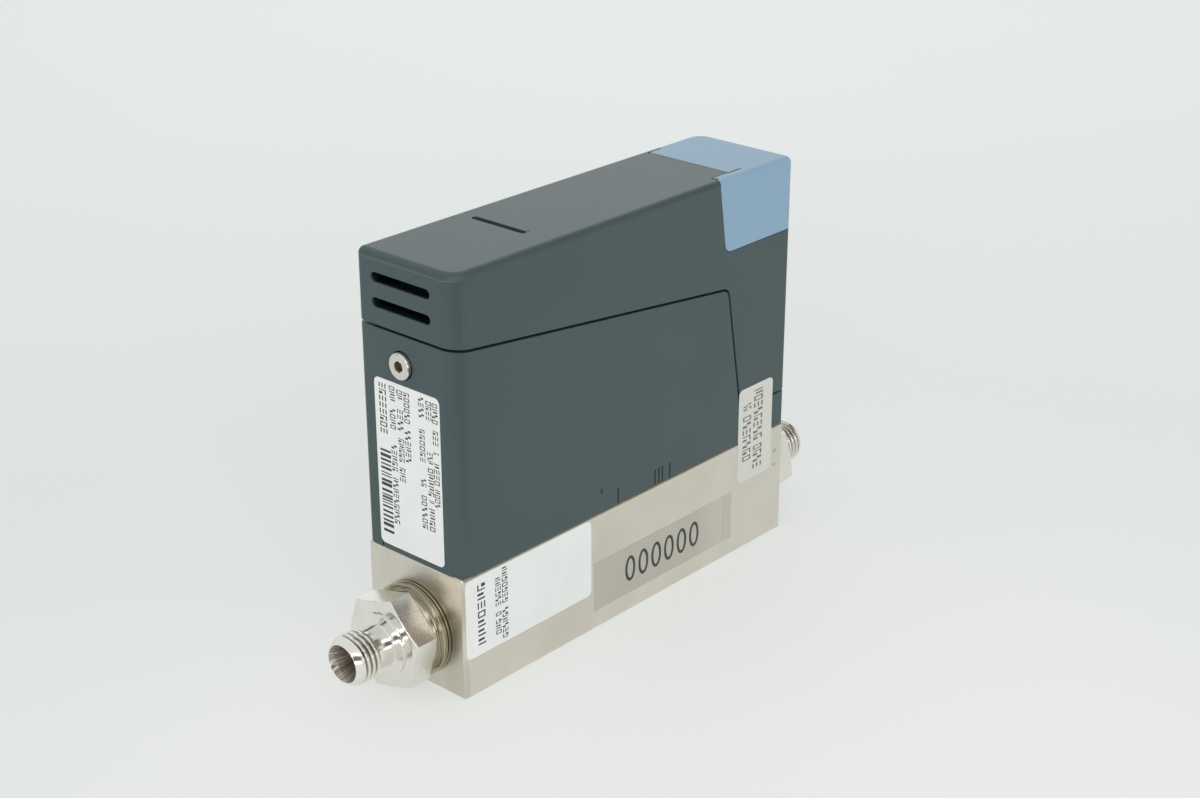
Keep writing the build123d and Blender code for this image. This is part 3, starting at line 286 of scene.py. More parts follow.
def blockSteel(name):
    # blasted long sides, and end faces with the milling cutter's fine upright lines
    f = blockFinish
    colour, rough = f["colour"], f["rough"]
    material, tree, shader = newMaterial(name, colour, metal=1.0, rough=rough)
    place = objectPlace(tree)
    x, y, z = split(tree, place)
    atEnd = calc(tree, "GREATER_THAN", calc(tree, "ABSOLUTE", x), f["endFrom"] * mm)
    clouds = grain(tree, place, 60, detail=5, rough=0.6, distortion=0.5)
    handled = (colour[0] * 0.935, colour[1] * 0.93, colour[2] * 0.91)
    skin = blendColour(tree, clouds, handled, shade(colour, 1.03))
    stretched = gather(tree, times(tree, x, 0.04), y, times(tree, z, 0.04))
    lines = grain(tree, stretched, 2600, detail=3, rough=0.6)
    skin = mixColour(tree, times(tree, atEnd, spread(tree, lines, 0.0, 0.14)), skin, shade(colour, 0.72))
    # two small dark marks, then painted reflections and painted shade on the inlet's end face
    for centre, size, tone, strength in f["spots"]:
        skin = mixColour(tree, times(tree, spotMask(tree, place, centre, size), strength), skin, tone)
    join(tree, skin, shader.inputs["Base Color"])
    grit = grain(tree, place, 2400, detail=3, rough=0.6)
    join(tree, spread(tree, grit, rough - 0.05, rough + 0.07), shader.inputs["Roughness"])
    both = addNode(tree, "ShaderNodeMix", data_type="FLOAT")
    join(tree, atEnd, both.inputs["Factor"])
    join(tree, grit, both.inputs[2])
    join(tree, lines, both.inputs[3])
    roughen(tree, shader, both.outputs[0], 0.003 * mm)
    return material


def turnedSteel(name, colour, rough=0.14, centre=(0, 0, 0), ring=0.16, depth=0.0022, extra=None, milled=None):
    # lathe-turned along X: fine rings round the axis on its faces, fine lines across it on its barrels
    material, tree, shader = newMaterial(name, colour, metal=1.0, rough=rough)
    place = objectPlace(tree, shift=tuple(-c for c in centre))
    along, *across = split(tree, place)
    length = addNode(tree, "ShaderNodeVectorMath", operation="LENGTH")
    join(tree, gather(tree, *across), length.inputs[0])
    radius = length.outputs["Value"]
    lines = grain(tree, gather(tree, along, radius), 1 / (ring * mm), detail=4, rough=0.6)
    tint = grain(tree, place, 160, detail=3)
    skin = blendColour(tree, tint, shade(colour, 0.95), shade(colour, 1.03))
    if extra:
        skin = extra(tree, skin, along, radius, across)
    join(tree, skin, shader.inputs["Base Color"])
    sheen = spread(tree, lines, rough - 0.04, rough + 0.08)
    if milled:
        # the hexagon's flats are milled, so duller than the turned faces
        grit = grain(tree, place, 1900, detail=3, rough=0.65)
        duller = times(tree, milled(tree, along, radius), spread(tree, grit, 0.10, 0.16))
        sheen = calc(tree, "ADD", sheen, duller)
        # inside the mouth a dull film keeps the walls from going black
        deep = calc(tree, "LESS_THAN", radius, fittingMarks["filmRadius"] * mm)
        film = times(tree, deep, fittingMarks["film"])
        join(tree, calc(tree, "SUBTRACT", 1.0, film), shader.inputs["Metallic"])
    join(tree, sheen, shader.inputs["Roughness"])
    roughen(tree, shader, lines, depth * mm)
    return material


fittingMarks = {
    "flatsFrom": 4.2,
    "flatsTo": 9.85,
    "flatsRadius": 9.3,
    "threadFrom": 14.4,               # heights above the block's end face, mm
    "threadTo": 19.3,
    "grooveRadius": 4.85,             # the grooves get painted shade and a brownish painted reflection
    "crestRadius": 5.40,
    "mouthFrom": 11.0,
    "mouthRadius": 4.12,
    "filmRadius": 4.09,
    "film": 0.40,                     # how far the mouth's film hides the metal
    "grooveShadeTone": (0.33, 0.295, 0.245),
}


def heightOf(tree, along):
    # distance out from the block's end face, at either end
    return calc(tree, "SUBTRACT", calc(tree, "ABSOLUTE", along), blockHalfLength)


def hexagonFlats(tree, along, radius):
    m = fittingMarks
    between = within(tree, heightOf(tree, along), m["flatsFrom"] * mm, m["flatsTo"] * mm)
    return times(tree, between, calc(tree, "GREATER_THAN", radius, m["flatsRadius"] * mm))


def fittingDetail(tree, skin, along, radius, across):
    m = fittingMarks
    height = heightOf(tree, along)
    onThread = within(tree, height, m["threadFrom"] * mm, m["threadTo"] * mm)
    # painted shade and painted reflection in the thread's grooves
    deep = spread(tree, radius, 0.8, 0.0, m["grooveRadius"] * mm, m["crestRadius"] * mm, smooth=True)
    skin = mixColour(tree, times(tree, onThread, deep), skin, m["grooveShadeTone"])
    # painted shade and painted reflections inside the mouth, in streaks round the axis like the reamer's marks
    angle = calc(tree, "ARCTAN2", across[0], across[1])
    roundMouth = gather(tree, calc(tree, "COSINE", angle), calc(tree, "SINE", angle))
    reamed = grain(tree, roundMouth, 9.0, detail=4, rough=0.7)
    inMouth = times(tree, calc(tree, "GREATER_THAN", height, m["mouthFrom"] * mm),
                    calc(tree, "LESS_THAN", radius, m["mouthRadius"] * mm))
    mouthShadeStreaks = blendColour(tree, reamed, (0.13, 0.105, 0.075), (0.72, 0.66, 0.57), 0.38, 0.66)
    return mixColour(tree, inMouth, skin, mouthShadeStreaks)


sealMarks = {
    "footBelow": 0.16,
    "grooveRadius": 10.3,
    "grooveFrom": 0.7,
    "grooveTo": 1.14,
    # painted shade colours for the foot at the block's face and for the groove round the rim
    "foot": (0.03, 0.026, 0.02),
    "grooveShade": (0.09, 0.075, 0.05),
    "lines": (0.26, 0.225, 0.15),
}


def sealDetail(tree, skin, along, radius, across):
    # painted shade: a dark foot at the block's face, and darker in the groove round the rim
    m = sealMarks
    height = heightOf(tree, along)
    skin = mixColour(tree, calc(tree, "LESS_THAN", height, m["footBelow"] * mm), skin, m["foot"])
    groove = times(tree, within(tree, height, m["grooveFrom"] * mm, m["grooveTo"] * mm),
                   calc(tree, "LESS_THAN", radius, m["grooveRadius"] * mm))
    skin = mixColour(tree, times(tree, groove, 0.85), skin, m["grooveShade"])
    lines = grain(tree, gather(tree, height), 5200, detail=1)
    return mixColour(tree, spread(tree, lines, 0.0, 0.55), skin, m["lines"])


def rubber(name, colour):
    material, tree, shader = newMaterial(name, colour, rough=0.6)
    skin = grain(tree, objectPlace(tree), 2500, detail=2)
    join(tree, blendColour(tree, skin, shade(colour, 0.8), shade(colour, 1.4)), shader.inputs["Base Color"])
    join(tree, spread(tree, skin, 0.52, 0.7), shader.inputs["Roughness"])
    roughen(tree, shader, skin, 0.01 * mm)
    return material


def paperFilm(name, colour, rough=0.38, fibre=0.02, ripple=0.25, extra=None):
    material, tree, shader = newMaterial(name, colour, rough=rough)
    place = objectPlace(tree)
    clouds = grain(tree, place, 130, detail=3)
    film = blendColour(tree, clouds, shade(colour, 1 - fibre), shade(colour, 1 + fibre))
    if extra:
        film = extra(tree, place, film, colour)
    join(tree, film, shader.inputs["Base Color"])
    waves = grain(tree, place, 420, detail=2)
    join(tree, spread(tree, waves, rough - 0.05, rough + 0.05), shader.inputs["Roughness"])
    if ripple:
        roughen(tree, shader, waves, 0.02 * mm, strength=ripple)
    return material


tapeMarks = {"paleFrom": 20, "paleTo": 30, "crease": 31.2, "creaseHalf": 0.13, "doubleFrom": 31.3}


def tapeFold(tree, place, film, colour):
    # paler towards the far end, with painted shade along a crease there, past which the film lies double
    m = tapeMarks
    x, y, z = split(tree, place)
    pale = spread(tree, x, 0.0, 1.0, m["paleFrom"] * mm, m["paleTo"] * mm, smooth=True)
    film = mixColour(tree, pale, film, shade(colour, 1.14))
    # painted shade along the crease
    fromCrease = calc(tree, "ABSOLUTE", calc(tree, "SUBTRACT", x, m["crease"] * mm))
    crease = calc(tree, "LESS_THAN", fromCrease, m["creaseHalf"] * mm)
    film = mixColour(tree, times(tree, crease, 0.5), film, shade(colour, 0.7))
    double = calc(tree, "GREATER_THAN", x, m["doubleFrom"] * mm)
    return mixColour(tree, times(tree, double, 0.5), film, shade(colour, 1.04))


def woundWire(name, colour, wire=0.35):
    # turns of enamelled wire, one above the other, with painted shade in the dark bands between the turns
    material, tree, shader = newMaterial(name, colour, metal=0.85, rough=0.25)
    turns = addNode(tree, "ShaderNodeTexWave", wave_type="BANDS", bands_direction="Z")
    turns.inputs["Scale"].default_value = 1 / (wire * mm) / 3.2
    turns.inputs["Distortion"].default_value = 0.4
    join(tree, objectPlace(tree), turns.inputs["Vector"])
    enamelAndShade = blendColour(tree, turns.outputs["Fac"], shade(colour, 0.45), colour, 0.1, 0.6)
    join(tree, enamelAndShade, shader.inputs["Base Color"])
    join(tree, spread(tree, turns.outputs["Fac"], 0.4, 0.22, 0, 1), shader.inputs["Roughness"])
    roughen(tree, shader, turns.outputs["Fac"], 0.08 * mm)
    return material


def circuitBoard(name, colour):
    # solder mask with lighter copper tracks under it
    material, tree, shader = newMaterial(name, colour, rough=0.35)
    cells = addNode(tree, "ShaderNodeTexBrick")
    cells.inputs["Scale"].default_value = 260
    cells.inputs["Mortar Size"].default_value = 0.06
    cells.inputs["Color1"].default_value = (*colour, 1)
    cells.inputs["Color2"].default_value = (*shade(colour, 0.85), 1)
    cells.inputs["Mortar"].default_value = (*shade(colour, 1.6), 1)
    join(tree, objectPlace(tree), cells.inputs["Vector"])
    join(tree, cells.outputs["Color"], shader.inputs["Base Color"])
    speck = grain(tree, objectPlace(tree), 1800, detail=2)
    join(tree, spread(tree, speck, 0.3, 0.42), shader.inputs["Roughness"])
    roughen(tree, shader, cells.outputs["Fac"], 0.02 * mm)
    return material


fittingCentre = (0, 0, gasAxisHeight)
finishes = {
    "block_steel": blockSteel("blastedBlockSteel"),
    "fitting_steel": turnedSteel("turnedFittingSteel", (0.84, 0.82, 0.77), rough=0.12, centre=fittingCentre,
                                 ring=0.10, depth=0.0012, extra=fittingDetail, milled=hexagonFlats),
    "seal_steel": turnedSteel("sealRingSteel", (0.50, 0.455, 0.355), rough=0.2, centre=fittingCentre,
                              ring=0.10, extra=sealDetail),
    "seal_rubber": rubber("sealRubber", (0.03, 0.03, 0.03)),
    "gas_path_steel": turnedSteel("gasPathSteel", (0.70, 0.69, 0.66), rough=0.2, centre=fittingCentre),
    "brass": turnedSteel("turnedBrass", (0.80, 0.60, 0.27), rough=0.2),
    "inner_plastic": mouldedPlastic("innerPlastic", (0.03, 0.03, 0.033), rough=0.42),
    "board_green": circuitBoard("boardGreen", (0.006, 0.036, 0.018)),
    "screw_steel": satinSteel("screwSteel", (0.76, 0.74, 0.69), rough=0.2),
    "yoke_steel": satinSteel("zincYokeSteel", (0.60, 0.61, 0.62), rough=0.3),
    "copper_winding": woundWire("copperWinding", (0.75, 0.33, 0.15)),
    "case_grey": mouldedPlastic("caseGrey", (0.0465, 0.0740, 0.0775), rough=0.42, extra=caseDetail),
    "cap_blue": mouldedPlastic("capBlue", (0.25, 0.39, 0.52), rough=0.46, mottle=0.02, extra=capDetail),
    "capacitor_can": satinSteel("capacitorCan", (0.75, 0.75, 0.77), rough=0.25),
    "chip_black": mouldedPlastic("chipBlack", (0.02, 0.02, 0.021), rough=0.5, grainSize=0.12),
    "header_white": mouldedPlastic("headerNylon", (0.78, 0.75, 0.66), rough=0.4),
    "flex_amber": paperFilm("flexAmber", (0.60, 0.27, 0.05), rough=0.2),
    "connector_steel": satinSteel("connectorSteel", (0.66, 0.66, 0.64), rough=0.28, depth=0.0012),
    "connector_black": mouldedPlastic("connectorBlack", (0.022, 0.022, 0.025), rough=0.45),
    "label_white": paperFilm("labelWhite", (0.845, 0.865, 0.85)),
    "tape_clear": paperFilm("tapeFilm", (0.475, 0.46, 0.388), rough=0.42, fibre=0.015, ripple=0,
                            extra=tapeFold),
}
labelInk = paperFilm("labelInk", (0.035, 0.037, 0.036), rough=0.5, fibre=0.2)
sealFilm = paperFilm("sealFilm", (0.68, 0.685, 0.625), rough=0.36)
sealInk = paperFilm("sealInk", (0.17, 0.165, 0.15), rough=0.5, fibre=0.2)
socketShade = paperFilm("socketShade", (0.14, 0.105, 0.065), rough=0.4, fibre=0.35)
print("materials:", len(finishes) + len((labelInk, sealFilm, sealInk, socketShade)))

slotOfNode = {s["node"]: s["material_slot"] for s in frame["record"]["subparts"]}
for nodeName, nodeObject in frame["nodes"].items():
    nodeObject.data.materials.clear()
    nodeObject.data.materials.append(finishes[slotOfNode[nodeName]])
print("finishes put on the packed nodes")


def finishPiece(piece, material=None, replacing=None):
    if material is not None:
        piece.data.materials.clear()
        piece.data.materials.append(material)
    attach(piece, "body")
    if replacing:
        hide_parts(*replacing)
    return piece


def newPiece(name, mesh):
    piece = bpy.data.objects.new(name, mesh)
    bpy.context.scene.collection.objects.link(piece)
    return piece


def smoothByAngle(mesh, degrees):
    mesh.polygons.foreach_set("use_smooth", [True] * len(mesh.polygons))
    b = bmesh.new()
    b.from_mesh(mesh)
    for edge in b.edges:
        if len(edge.link_faces) == 2 and edge.calc_face_angle(0) > math.radians(degrees):
            edge.smooth = False
    b.to_mesh(mesh)
    b.free()


def facesOutward(mesh):
    b = bmesh.new()
    b.from_mesh(mesh)
    bmesh.ops.recalc_face_normals(b, faces=b.faces)
    b.to_mesh(mesh)
    b.free()


def bridge(b, loops):
    # walls of quads from each closed loop of corners to the next
    count = len(loops[0])
    for low, high in zip(loops, loops[1:]):
        for i in range(count):
            j = (i + 1) % count
            b.faces.new((low[i], low[j], high[j], high[i]))


def meshFrom(b, name):
    mesh = bpy.data.meshes.new(name)
    b.to_mesh(mesh)
    b.free()
    return mesh


def turnedMesh(name, makers, count):
    # rings round local +Z, each from a function of the angle that gives height and radius in mm;
    # the last ring joins the first
    b = bmesh.new()
    loops = []
    for maker in makers:
        loop = []
        for i in range(count):
            angle = 2 * math.pi * i / count
            height, radius = maker(angle)
            out = radius * mm
            loop.append(b.verts.new((out * math.cos(angle), out * math.sin(angle), height * mm)))
        loops.append(loop)
    bridge(b, loops + loops[:1])
    bmesh.ops.recalc_face_normals(b, faces=b.faces)
    return meshFrom(b, name)


def atRadius(height, radius):
    return lambda angle: (height, radius)


def acrossFlats(flats, angle):
    return flats / 2 / math.cos((angle % (math.pi / 3)) - math.pi / 6)


def endStand(sign):
    # local +Z out of the block's end face, local +X down at the inlet and up at the outlet:
    # both are plain turns
    return Matrix(((0, 0, sign, 0), (0, -1, 0, 0), (sign, 0, 0, 0), (0, 0, 0, 1)))


fitting = {
    "collar": (9.2, 2.1, 4.1),       # radius, from, to: heights above the block's end face, mm
    "hexFlats": 19.0,
    "hexTop": 10.0,
    "cornerSlope": 16.0,             # degrees off the front face
    "landRadius": 9.405,
    "faceRadius": 7.0,               # thin turned step on the hexagon's front
    "faceTop": 10.5,
    "neckRadius": 4.5,
    "neckTop": 14.5,
    "threadRadius": 5.45,
    "threadTop": 18.9,
    "noseTop": 20.75,
    "noseRadius": 4.45,
    "tipTop": 20.9,
    "mouthRadius": 4.1,
    "socketRadius": 3.05,
    "coneAngle": 18.0,
    "socketDepth": 9.0,
    "boreRadius": 2.0,
    "shankRadius": 6.4,
    "shankDepth": 10.5,
    "pitch": 1.27,
    "threadDepth": 0.70,
    "threadFade": 0.35,              # run-in and run-out
    "barrel": 4.6,                   # skin inside this radius is left as it is
    "turn": -14.0,                   # of the hexagon on its axis, degrees
    "segments": 180,
}


def startTree(name, whole=(), sizes=()):
    # a geometry tree with its inputs: the geometry, whole numbers, sizes and the finish
    tree = bpy.data.node_groups.new(name, "GeometryNodeTree")
    numbers = [(n, "Int") for n in whole] + [(n, "Float") for n in sizes]
    for socket, kind in [("Geometry", "Geometry"), *numbers, ("Finish", "Material")]:
        tree.interface.new_socket(name=socket, in_out="INPUT", socket_type="NodeSocket" + kind)
    tree.interface.new_socket(name="Geometry", in_out="OUTPUT", socket_type="NodeSocketGeometry")
    return tree, addNode(tree, "NodeGroupInput")


def threadTree():
    # moves the plain barrel's skin in along a helix, so that ridges of the given pitch are left standing
    tree, start = startTree("rolledThread", sizes=("Pitch", "Depth", "Start", "End", "Fade", "Barrel"))
    place = addNode(tree, "GeometryNodeInputPosition")
    x, y, z = split(tree, place.outputs[0])
    angle = calc(tree, "DIVIDE", calc(tree, "ARCTAN2", y, x), 2 * math.pi)
    turns = calc(tree, "SUBTRACT", calc(tree, "DIVIDE", z, start.outputs["Pitch"]), angle)
    fromGroove = calc(tree, "ABSOLUTE", calc(tree, "SUBTRACT", calc(tree, "FRACT", turns), 0.5))
    groove = calc(tree, "SUBTRACT", 1.0, times(tree, fromGroove, 2.0))      # 1 in mid groove
    cut = spread(tree, groove, 0, 1, 0.18, 0.92, smooth=True)

    def fade(first, last):
        ranger = addNode(tree, "ShaderNodeMapRange")
        join(tree, z, ranger.inputs["Value"])
        join(tree, first, ranger.inputs["From Min"])
        join(tree, last, ranger.inputs["From Max"])
        return ranger.outputs["Result"]

    runIn = fade(start.outputs["Start"], calc(tree, "ADD", start.outputs["Start"], start.outputs["Fade"]))
    runOut = fade(start.outputs["End"], calc(tree, "SUBTRACT", start.outputs["End"], start.outputs["Fade"]))
    radius = calc(tree, "SQRT", calc(tree, "ADD", times(tree, x, x), times(tree, y, y)))
    outside = calc(tree, "GREATER_THAN", radius, start.outputs["Barrel"])
    amount = times(tree, times(tree, cut, start.outputs["Depth"]), times(tree, runIn, runOut, outside))
    share = calc(tree, "DIVIDE", calc(tree, "SUBTRACT", radius, amount), radius)
    setter = addNode(tree, "GeometryNodeSetPosition")
    join(tree, start.outputs["Geometry"], setter.inputs["Geometry"])
    join(tree, gather(tree, times(tree, x, share), times(tree, y, share), z), setter.inputs["Position"])
    return closeTree(tree, setter.outputs[0], start)


def closeTree(tree, geometry, start):
    end = addNode(tree, "NodeGroupOutput")
    solid = addNode(tree, "GeometryNodeRealizeInstances")
    join(tree, geometry, solid.inputs[0])
    paint = addNode(tree, "GeometryNodeSetMaterial")
    join(tree, solid.outputs[0], paint.inputs["Geometry"])
    join(tree, start.outputs["Finish"], paint.inputs["Material"])
    join(tree, paint.outputs[0], end.inputs["Geometry"])
    return tree


def runTree(piece, tree, values):
    # puts the tree on as a modifier, sets its inputs, and keeps what comes out as a plain mesh
    modifier = piece.modifiers.new("nodes", "NODES")
    modifier.node_group = tree
    sockets = [s for s in tree.interface.items_tree if s.item_type == "SOCKET" and s.in_out == "INPUT"]
    for socket in sockets:
        if socket.name in values:
            modifier[socket.identifier] = values[socket.name]
    depsgraph = bpy.context.evaluated_depsgraph_get()
    result = bpy.data.meshes.new_from_object(piece.evaluated_get(depsgraph), preserve_all_data_layers=True,
                                             depsgraph=depsgraph)
    piece.modifiers.remove(modifier)
    piece.data = result
    return result


def fittingMesh(side):
    # rings from the shank's end out over the hexagon and nose, and back down the socket to the bore
    f = fitting
    tool = math.tan(math.radians(f["cornerSlope"]))
    socketStart = f["tipTop"] - (f["mouthRadius"] - f["socketRadius"]) / math.tan(math.radians(f["coneAngle"]))
    socketFloor = f["tipTop"] - f["socketDepth"]
    hexTop, faceTop, neck, land = f["hexTop"], f["faceTop"], f["neckRadius"], f["landRadius"]
    shank, shankEnd = f["shankRadius"], -f["shankDepth"]
    collar, collarFrom, collarTo = f["collar"]
    threadStart = f["neckTop"] + 0.6

    def hexagon(angle):
        return acrossFlats(f["hexFlats"], angle)

    def bow(angle):      # the turned-off corners: the tool's cone meets each flat in a bow
        return hexTop - (hexagon(angle) - land) * tool

    rings = [
        atRadius(shankEnd, f["boreRadius"]),
        atRadius(shankEnd, shank - 0.5),
        atRadius(shankEnd + 0.5, shank),
        atRadius(collarFrom, shank),
        atRadius(collarFrom, collar - 0.2),
        atRadius(collarFrom + 0.06, collar - 0.06),
        atRadius(collarFrom + 0.2, collar),
        atRadius(collarTo - 0.25, collar),
        atRadius(collarTo - 0.15, collar - 0.25),      # undercut behind the hexagon
        atRadius(collarTo, collar - 0.25),
        lambda a: (collarTo, hexagon(a) - 0.2),
        lambda a: (collarTo + 0.2, hexagon(a)),
        lambda a: (bow(a) - 0.09, hexagon(a)),
        lambda a: (bow(a), hexagon(a) - 0.07),
        atRadius(hexTop, land),
        atRadius(hexTop, land - 0.3),
        atRadius(hexTop, f["faceRadius"] + 0.02),
        atRadius(hexTop + 0.06, f["faceRadius"]),
        atRadius(faceTop - 0.12, f["faceRadius"]),
        atRadius(faceTop, f["faceRadius"] - 0.12),
        atRadius(faceTop, neck + 0.35),
    ]
    for step in range(1, 6):      # small fillet at the neck's foot
        turn = step * math.pi / 10
        rings.append(atRadius(faceTop + 0.35 * (1 - math.cos(turn)), neck + 0.35 * (1 - math.sin(turn))))
    rings += [atRadius(f["neckTop"], neck), atRadius(threadStart, f["threadRadius"])]
    rows = int((f["threadTop"] - threadStart) / 0.07)
    for step in range(1, rows + 1):
        rings.append(atRadius(threadStart + (f["threadTop"] - threadStart) * step / rows, f["threadRadius"]))
    for step in range(1, 9):      # rounded nose
        along = step / 8
        rings.append(atRadius(f["threadTop"] + (f["noseTop"] - f["threadTop"]) * along,
                              f["threadRadius"] - (f["threadRadius"] - f["noseRadius"]) * along ** 1.6))
    rings += [
        atRadius(f["tipTop"], f["noseRadius"] - 0.14),
        atRadius(f["tipTop"], f["mouthRadius"] + 0.04),
        atRadius(f["tipTop"] - 0.05, f["mouthRadius"] - 0.01),
        atRadius(socketStart, f["socketRadius"]),
        atRadius(socketFloor, f["socketRadius"]),
        atRadius(socketFloor, f["boreRadius"]),
        atRadius(socketFloor - 3, f["boreRadius"]),
    ]
    return turnedMesh(side + "Fitting", rings, f["segments"])


rolledThread = threadTree()
for side, sign in (("inlet", -1), ("outlet", 1)):
    piece = newPiece(side + "FittingTurned", fittingMesh(side))
    steel = finishes["fitting_steel"]
    mesh = runTree(piece, rolledThread, {
        "Pitch": fitting["pitch"] * mm,
        "Depth": fitting["threadDepth"] * mm,
        "Start": (fitting["neckTop"] + fitting["threadFade"]) * mm,
        "End": (fitting["threadTop"] + fitting["threadFade"]) * mm,
        "Fade": fitting["threadFade"] * mm,
        "Barrel": fitting["barrel"] * mm,
        "Finish": steel})
    turn = Matrix.Rotation(math.radians(fitting["turn"]), 4, "Z")
    mesh.transform(Matrix.Translation((sign * blockHalfLength, 0, gasAxisHeight)) @ endStand(sign) @ turn)
    facesOutward(mesh)
    smoothByAngle(mesh, 28)
    finishPiece(piece, material=steel, replacing=[side + "_fitting"])
    print(side, "fitting:", len(mesh.polygons), "faces")


sealRing = {
    "innerRadius": 8.3,
    "outerRadius": 10.4,
    "edge": 0.16,                    # rounding of the rim's two edges
    "gap": 0.12,                     # dark line left at the block's face
    "groove": (0.92, 0.34, 0.22),    # middle, width, depth of the groove round the rim
    "faceGroove": (9.65, 0.22, 0.14),
    "thickness": 2.1,
    "segments": 160,
}


def sealRingMesh(side):
    s = sealRing
    outer, low, top, edge = s["outerRadius"], s["gap"], s["thickness"], s["edge"]
    middle, width, depth = s["groove"]
    faceAt, faceWide, faceDeep = s["faceGroove"]
    rings = [atRadius(0, s["innerRadius"]), atRadius(0, outer - 0.45), atRadius(low, outer - 0.40)]
    for step in range(4):
        turn = step * math.pi / 6
        rings.append(atRadius(low + edge * (1 - math.cos(turn)), outer - edge + edge * math.sin(turn)))
    rings += [atRadius(middle - width / 2, outer), atRadius(middle - width / 4, outer - depth),
              atRadius(middle + width / 4, outer - depth), atRadius(middle + width / 2, outer)]
    for step in range(4):
        turn = step * math.pi / 6
        rings.append(atRadius(top - edge + edge * math.sin(turn), outer - edge + edge * math.cos(turn)))
    rings += [atRadius(top, faceAt + faceWide / 2), atRadius(top - faceDeep, faceAt + faceWide / 4),
              atRadius(top - faceDeep, faceAt - faceWide / 4), atRadius(top, faceAt - faceWide / 2),
              atRadius(top, s["innerRadius"])]
    return turnedMesh(side + "SealRing", rings, s["segments"])


for side, sign in (("inlet", -1), ("outlet", 1)):
    mesh = sealRingMesh(side)
    mesh.transform(Matrix.Translation((sign * blockHalfLength, 0, gasAxisHeight)) @ endStand(sign))
    facesOutward(mesh)
    smoothByAngle(mesh, 40)
    finishPiece(newPiece(side + "SealRingTurned", mesh), material=finishes["seal_steel"],
                replacing=[side + "_seal_ring"])
print("seal rings done")


frontScrew = {
    "centre": (-53.4, 1.6, 71.15),
    "headRadius": 2.9,
    "headTop": 1.0,                  # heights out of the case's narrow face
    "headFoot": -1.0,
    "edge": 0.42,
    "socketFlats": 2.0,
    "socketFloor": -0.35,
    "shankRadius": 1.5,
    "shankEnd": -9.2,
    "turn": 12,                      # of the socket, degrees
    "socketShadeRadius": 1.45,            # painted shade on the socket's walls and floor
    "socketShadeFrom": -1.0,
    "socketShadeTo": 0.9,
    "segments": 120,
}


def frontScrewMesh():
    s = frontScrew
    top, edge, head = s["headTop"], s["edge"], s["headRadius"]
    rings = [atRadius(s["shankEnd"], 0.02), atRadius(s["shankEnd"], s["shankRadius"] - 0.3),
             atRadius(s["shankEnd"] + 0.3, s["shankRadius"]), atRadius(s["headFoot"], s["shankRadius"]),
             atRadius(s["headFoot"], head - 0.15), atRadius(s["headFoot"] + 0.15, head)]
    for step in range(6):      # soft rounding of the head's rim
        turn = step * math.pi / 10
        rings.append(atRadius(top - edge + edge * math.sin(turn), head - edge + edge * math.cos(turn)))
    rings += [
        atRadius(top, s["socketFlats"] / 2 + 0.62),
        lambda a: (top - 0.04, acrossFlats(s["socketFlats"], a) + 0.16),      # worn rim of the socket
        lambda a: (top - 0.16, acrossFlats(s["socketFlats"], a)),
        lambda a: (s["socketFloor"], acrossFlats(s["socketFlats"], a)),
        atRadius(s["socketFloor"] - 0.5, 0.02),
    ]
    return turnedMesh("frontScrew", rings, s["segments"])


mesh = frontScrewMesh()
mesh.materials.append(finishes["screw_steel"])
mesh.materials.append(socketShade)
# painted shade: the socket's walls and floor get the dark socketShade finish
for polygon in mesh.polygons:
    middle = polygon.center / mm
    deep = frontScrew["socketShadeFrom"] < middle.z < frontScrew["socketShadeTo"]
    if deep and middle.xy.length < frontScrew["socketShadeRadius"]:
        polygon.material_index = 1
turn = Matrix.Rotation(math.radians(frontScrew["turn"]), 4, "Z")
mesh.transform(Matrix.Translation([c * mm for c in frontScrew["centre"]]) @ endStand(-1) @ turn)
facesOutward(mesh)
smoothByAngle(mesh, 35)
finishPiece(newPiece("frontScrewTurned", mesh), replacing=["front_screw"])
print("front screw:", len(mesh.polygons), "faces")


valveSpring = {
    "centre": 24.4,
    "coilRadius": 1.7,
    "wireRadius": 0.218,
    "foot": 36.5,                    # on the floor of the plunger's recess
    "top": 44.8,                     # against the fixed core
    "turns": 6,
    "stepsPerTurn": 28,
    "sides": 10,
    "lift": 0.6,
}


def valveSpringMesh():
    # one closed tube of wire along the helix
    v = valveSpring
    steps = v["turns"] * v["stepsPerTurn"]
    low = v["foot"] + v["wireRadius"]
    rise = v["top"] - v["foot"] - 2 * v["wireRadius"]
    climb = math.atan2(rise / v["turns"], 2 * math.pi * v["coilRadius"])
    b = bmesh.new()
    loops = []
    for step in range(steps + 1):
        angle = 2 * math.pi * step / v["stepsPerTurn"]
        outward = Vector((math.cos(angle), math.sin(angle), 0))
        upward = Vector((math.sin(angle) * math.sin(climb), -math.cos(angle) * math.sin(climb),
                         math.cos(climb)))
        middle = Vector((v["centre"], 0, low + rise * step / steps)) + outward * v["coilRadius"]
        loop = []
        for i in range(v["sides"]):
            turn = 2 * math.pi * i / v["sides"]
            point = middle + (outward * math.cos(turn) + upward * math.sin(turn)) * v["wireRadius"]
            loop.append(b.verts.new(point * mm))
        loops.append(loop)
    bridge(b, loops)
    b.faces.new(loops[0][::-1])
    b.faces.new(loops[-1])
    return meshFrom(b, "valveSpring")


mesh = valveSpringMesh()
facesOutward(mesh)
smoothByAngle(mesh, 40)
spring = finishPiece(newPiece("valveSpringWound", mesh), material=finishes["gas_path_steel"],
                     replacing=["valve_spring"])
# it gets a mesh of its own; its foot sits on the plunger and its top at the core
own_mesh(spring)
print("valve spring:", len(mesh.polygons), "faces")


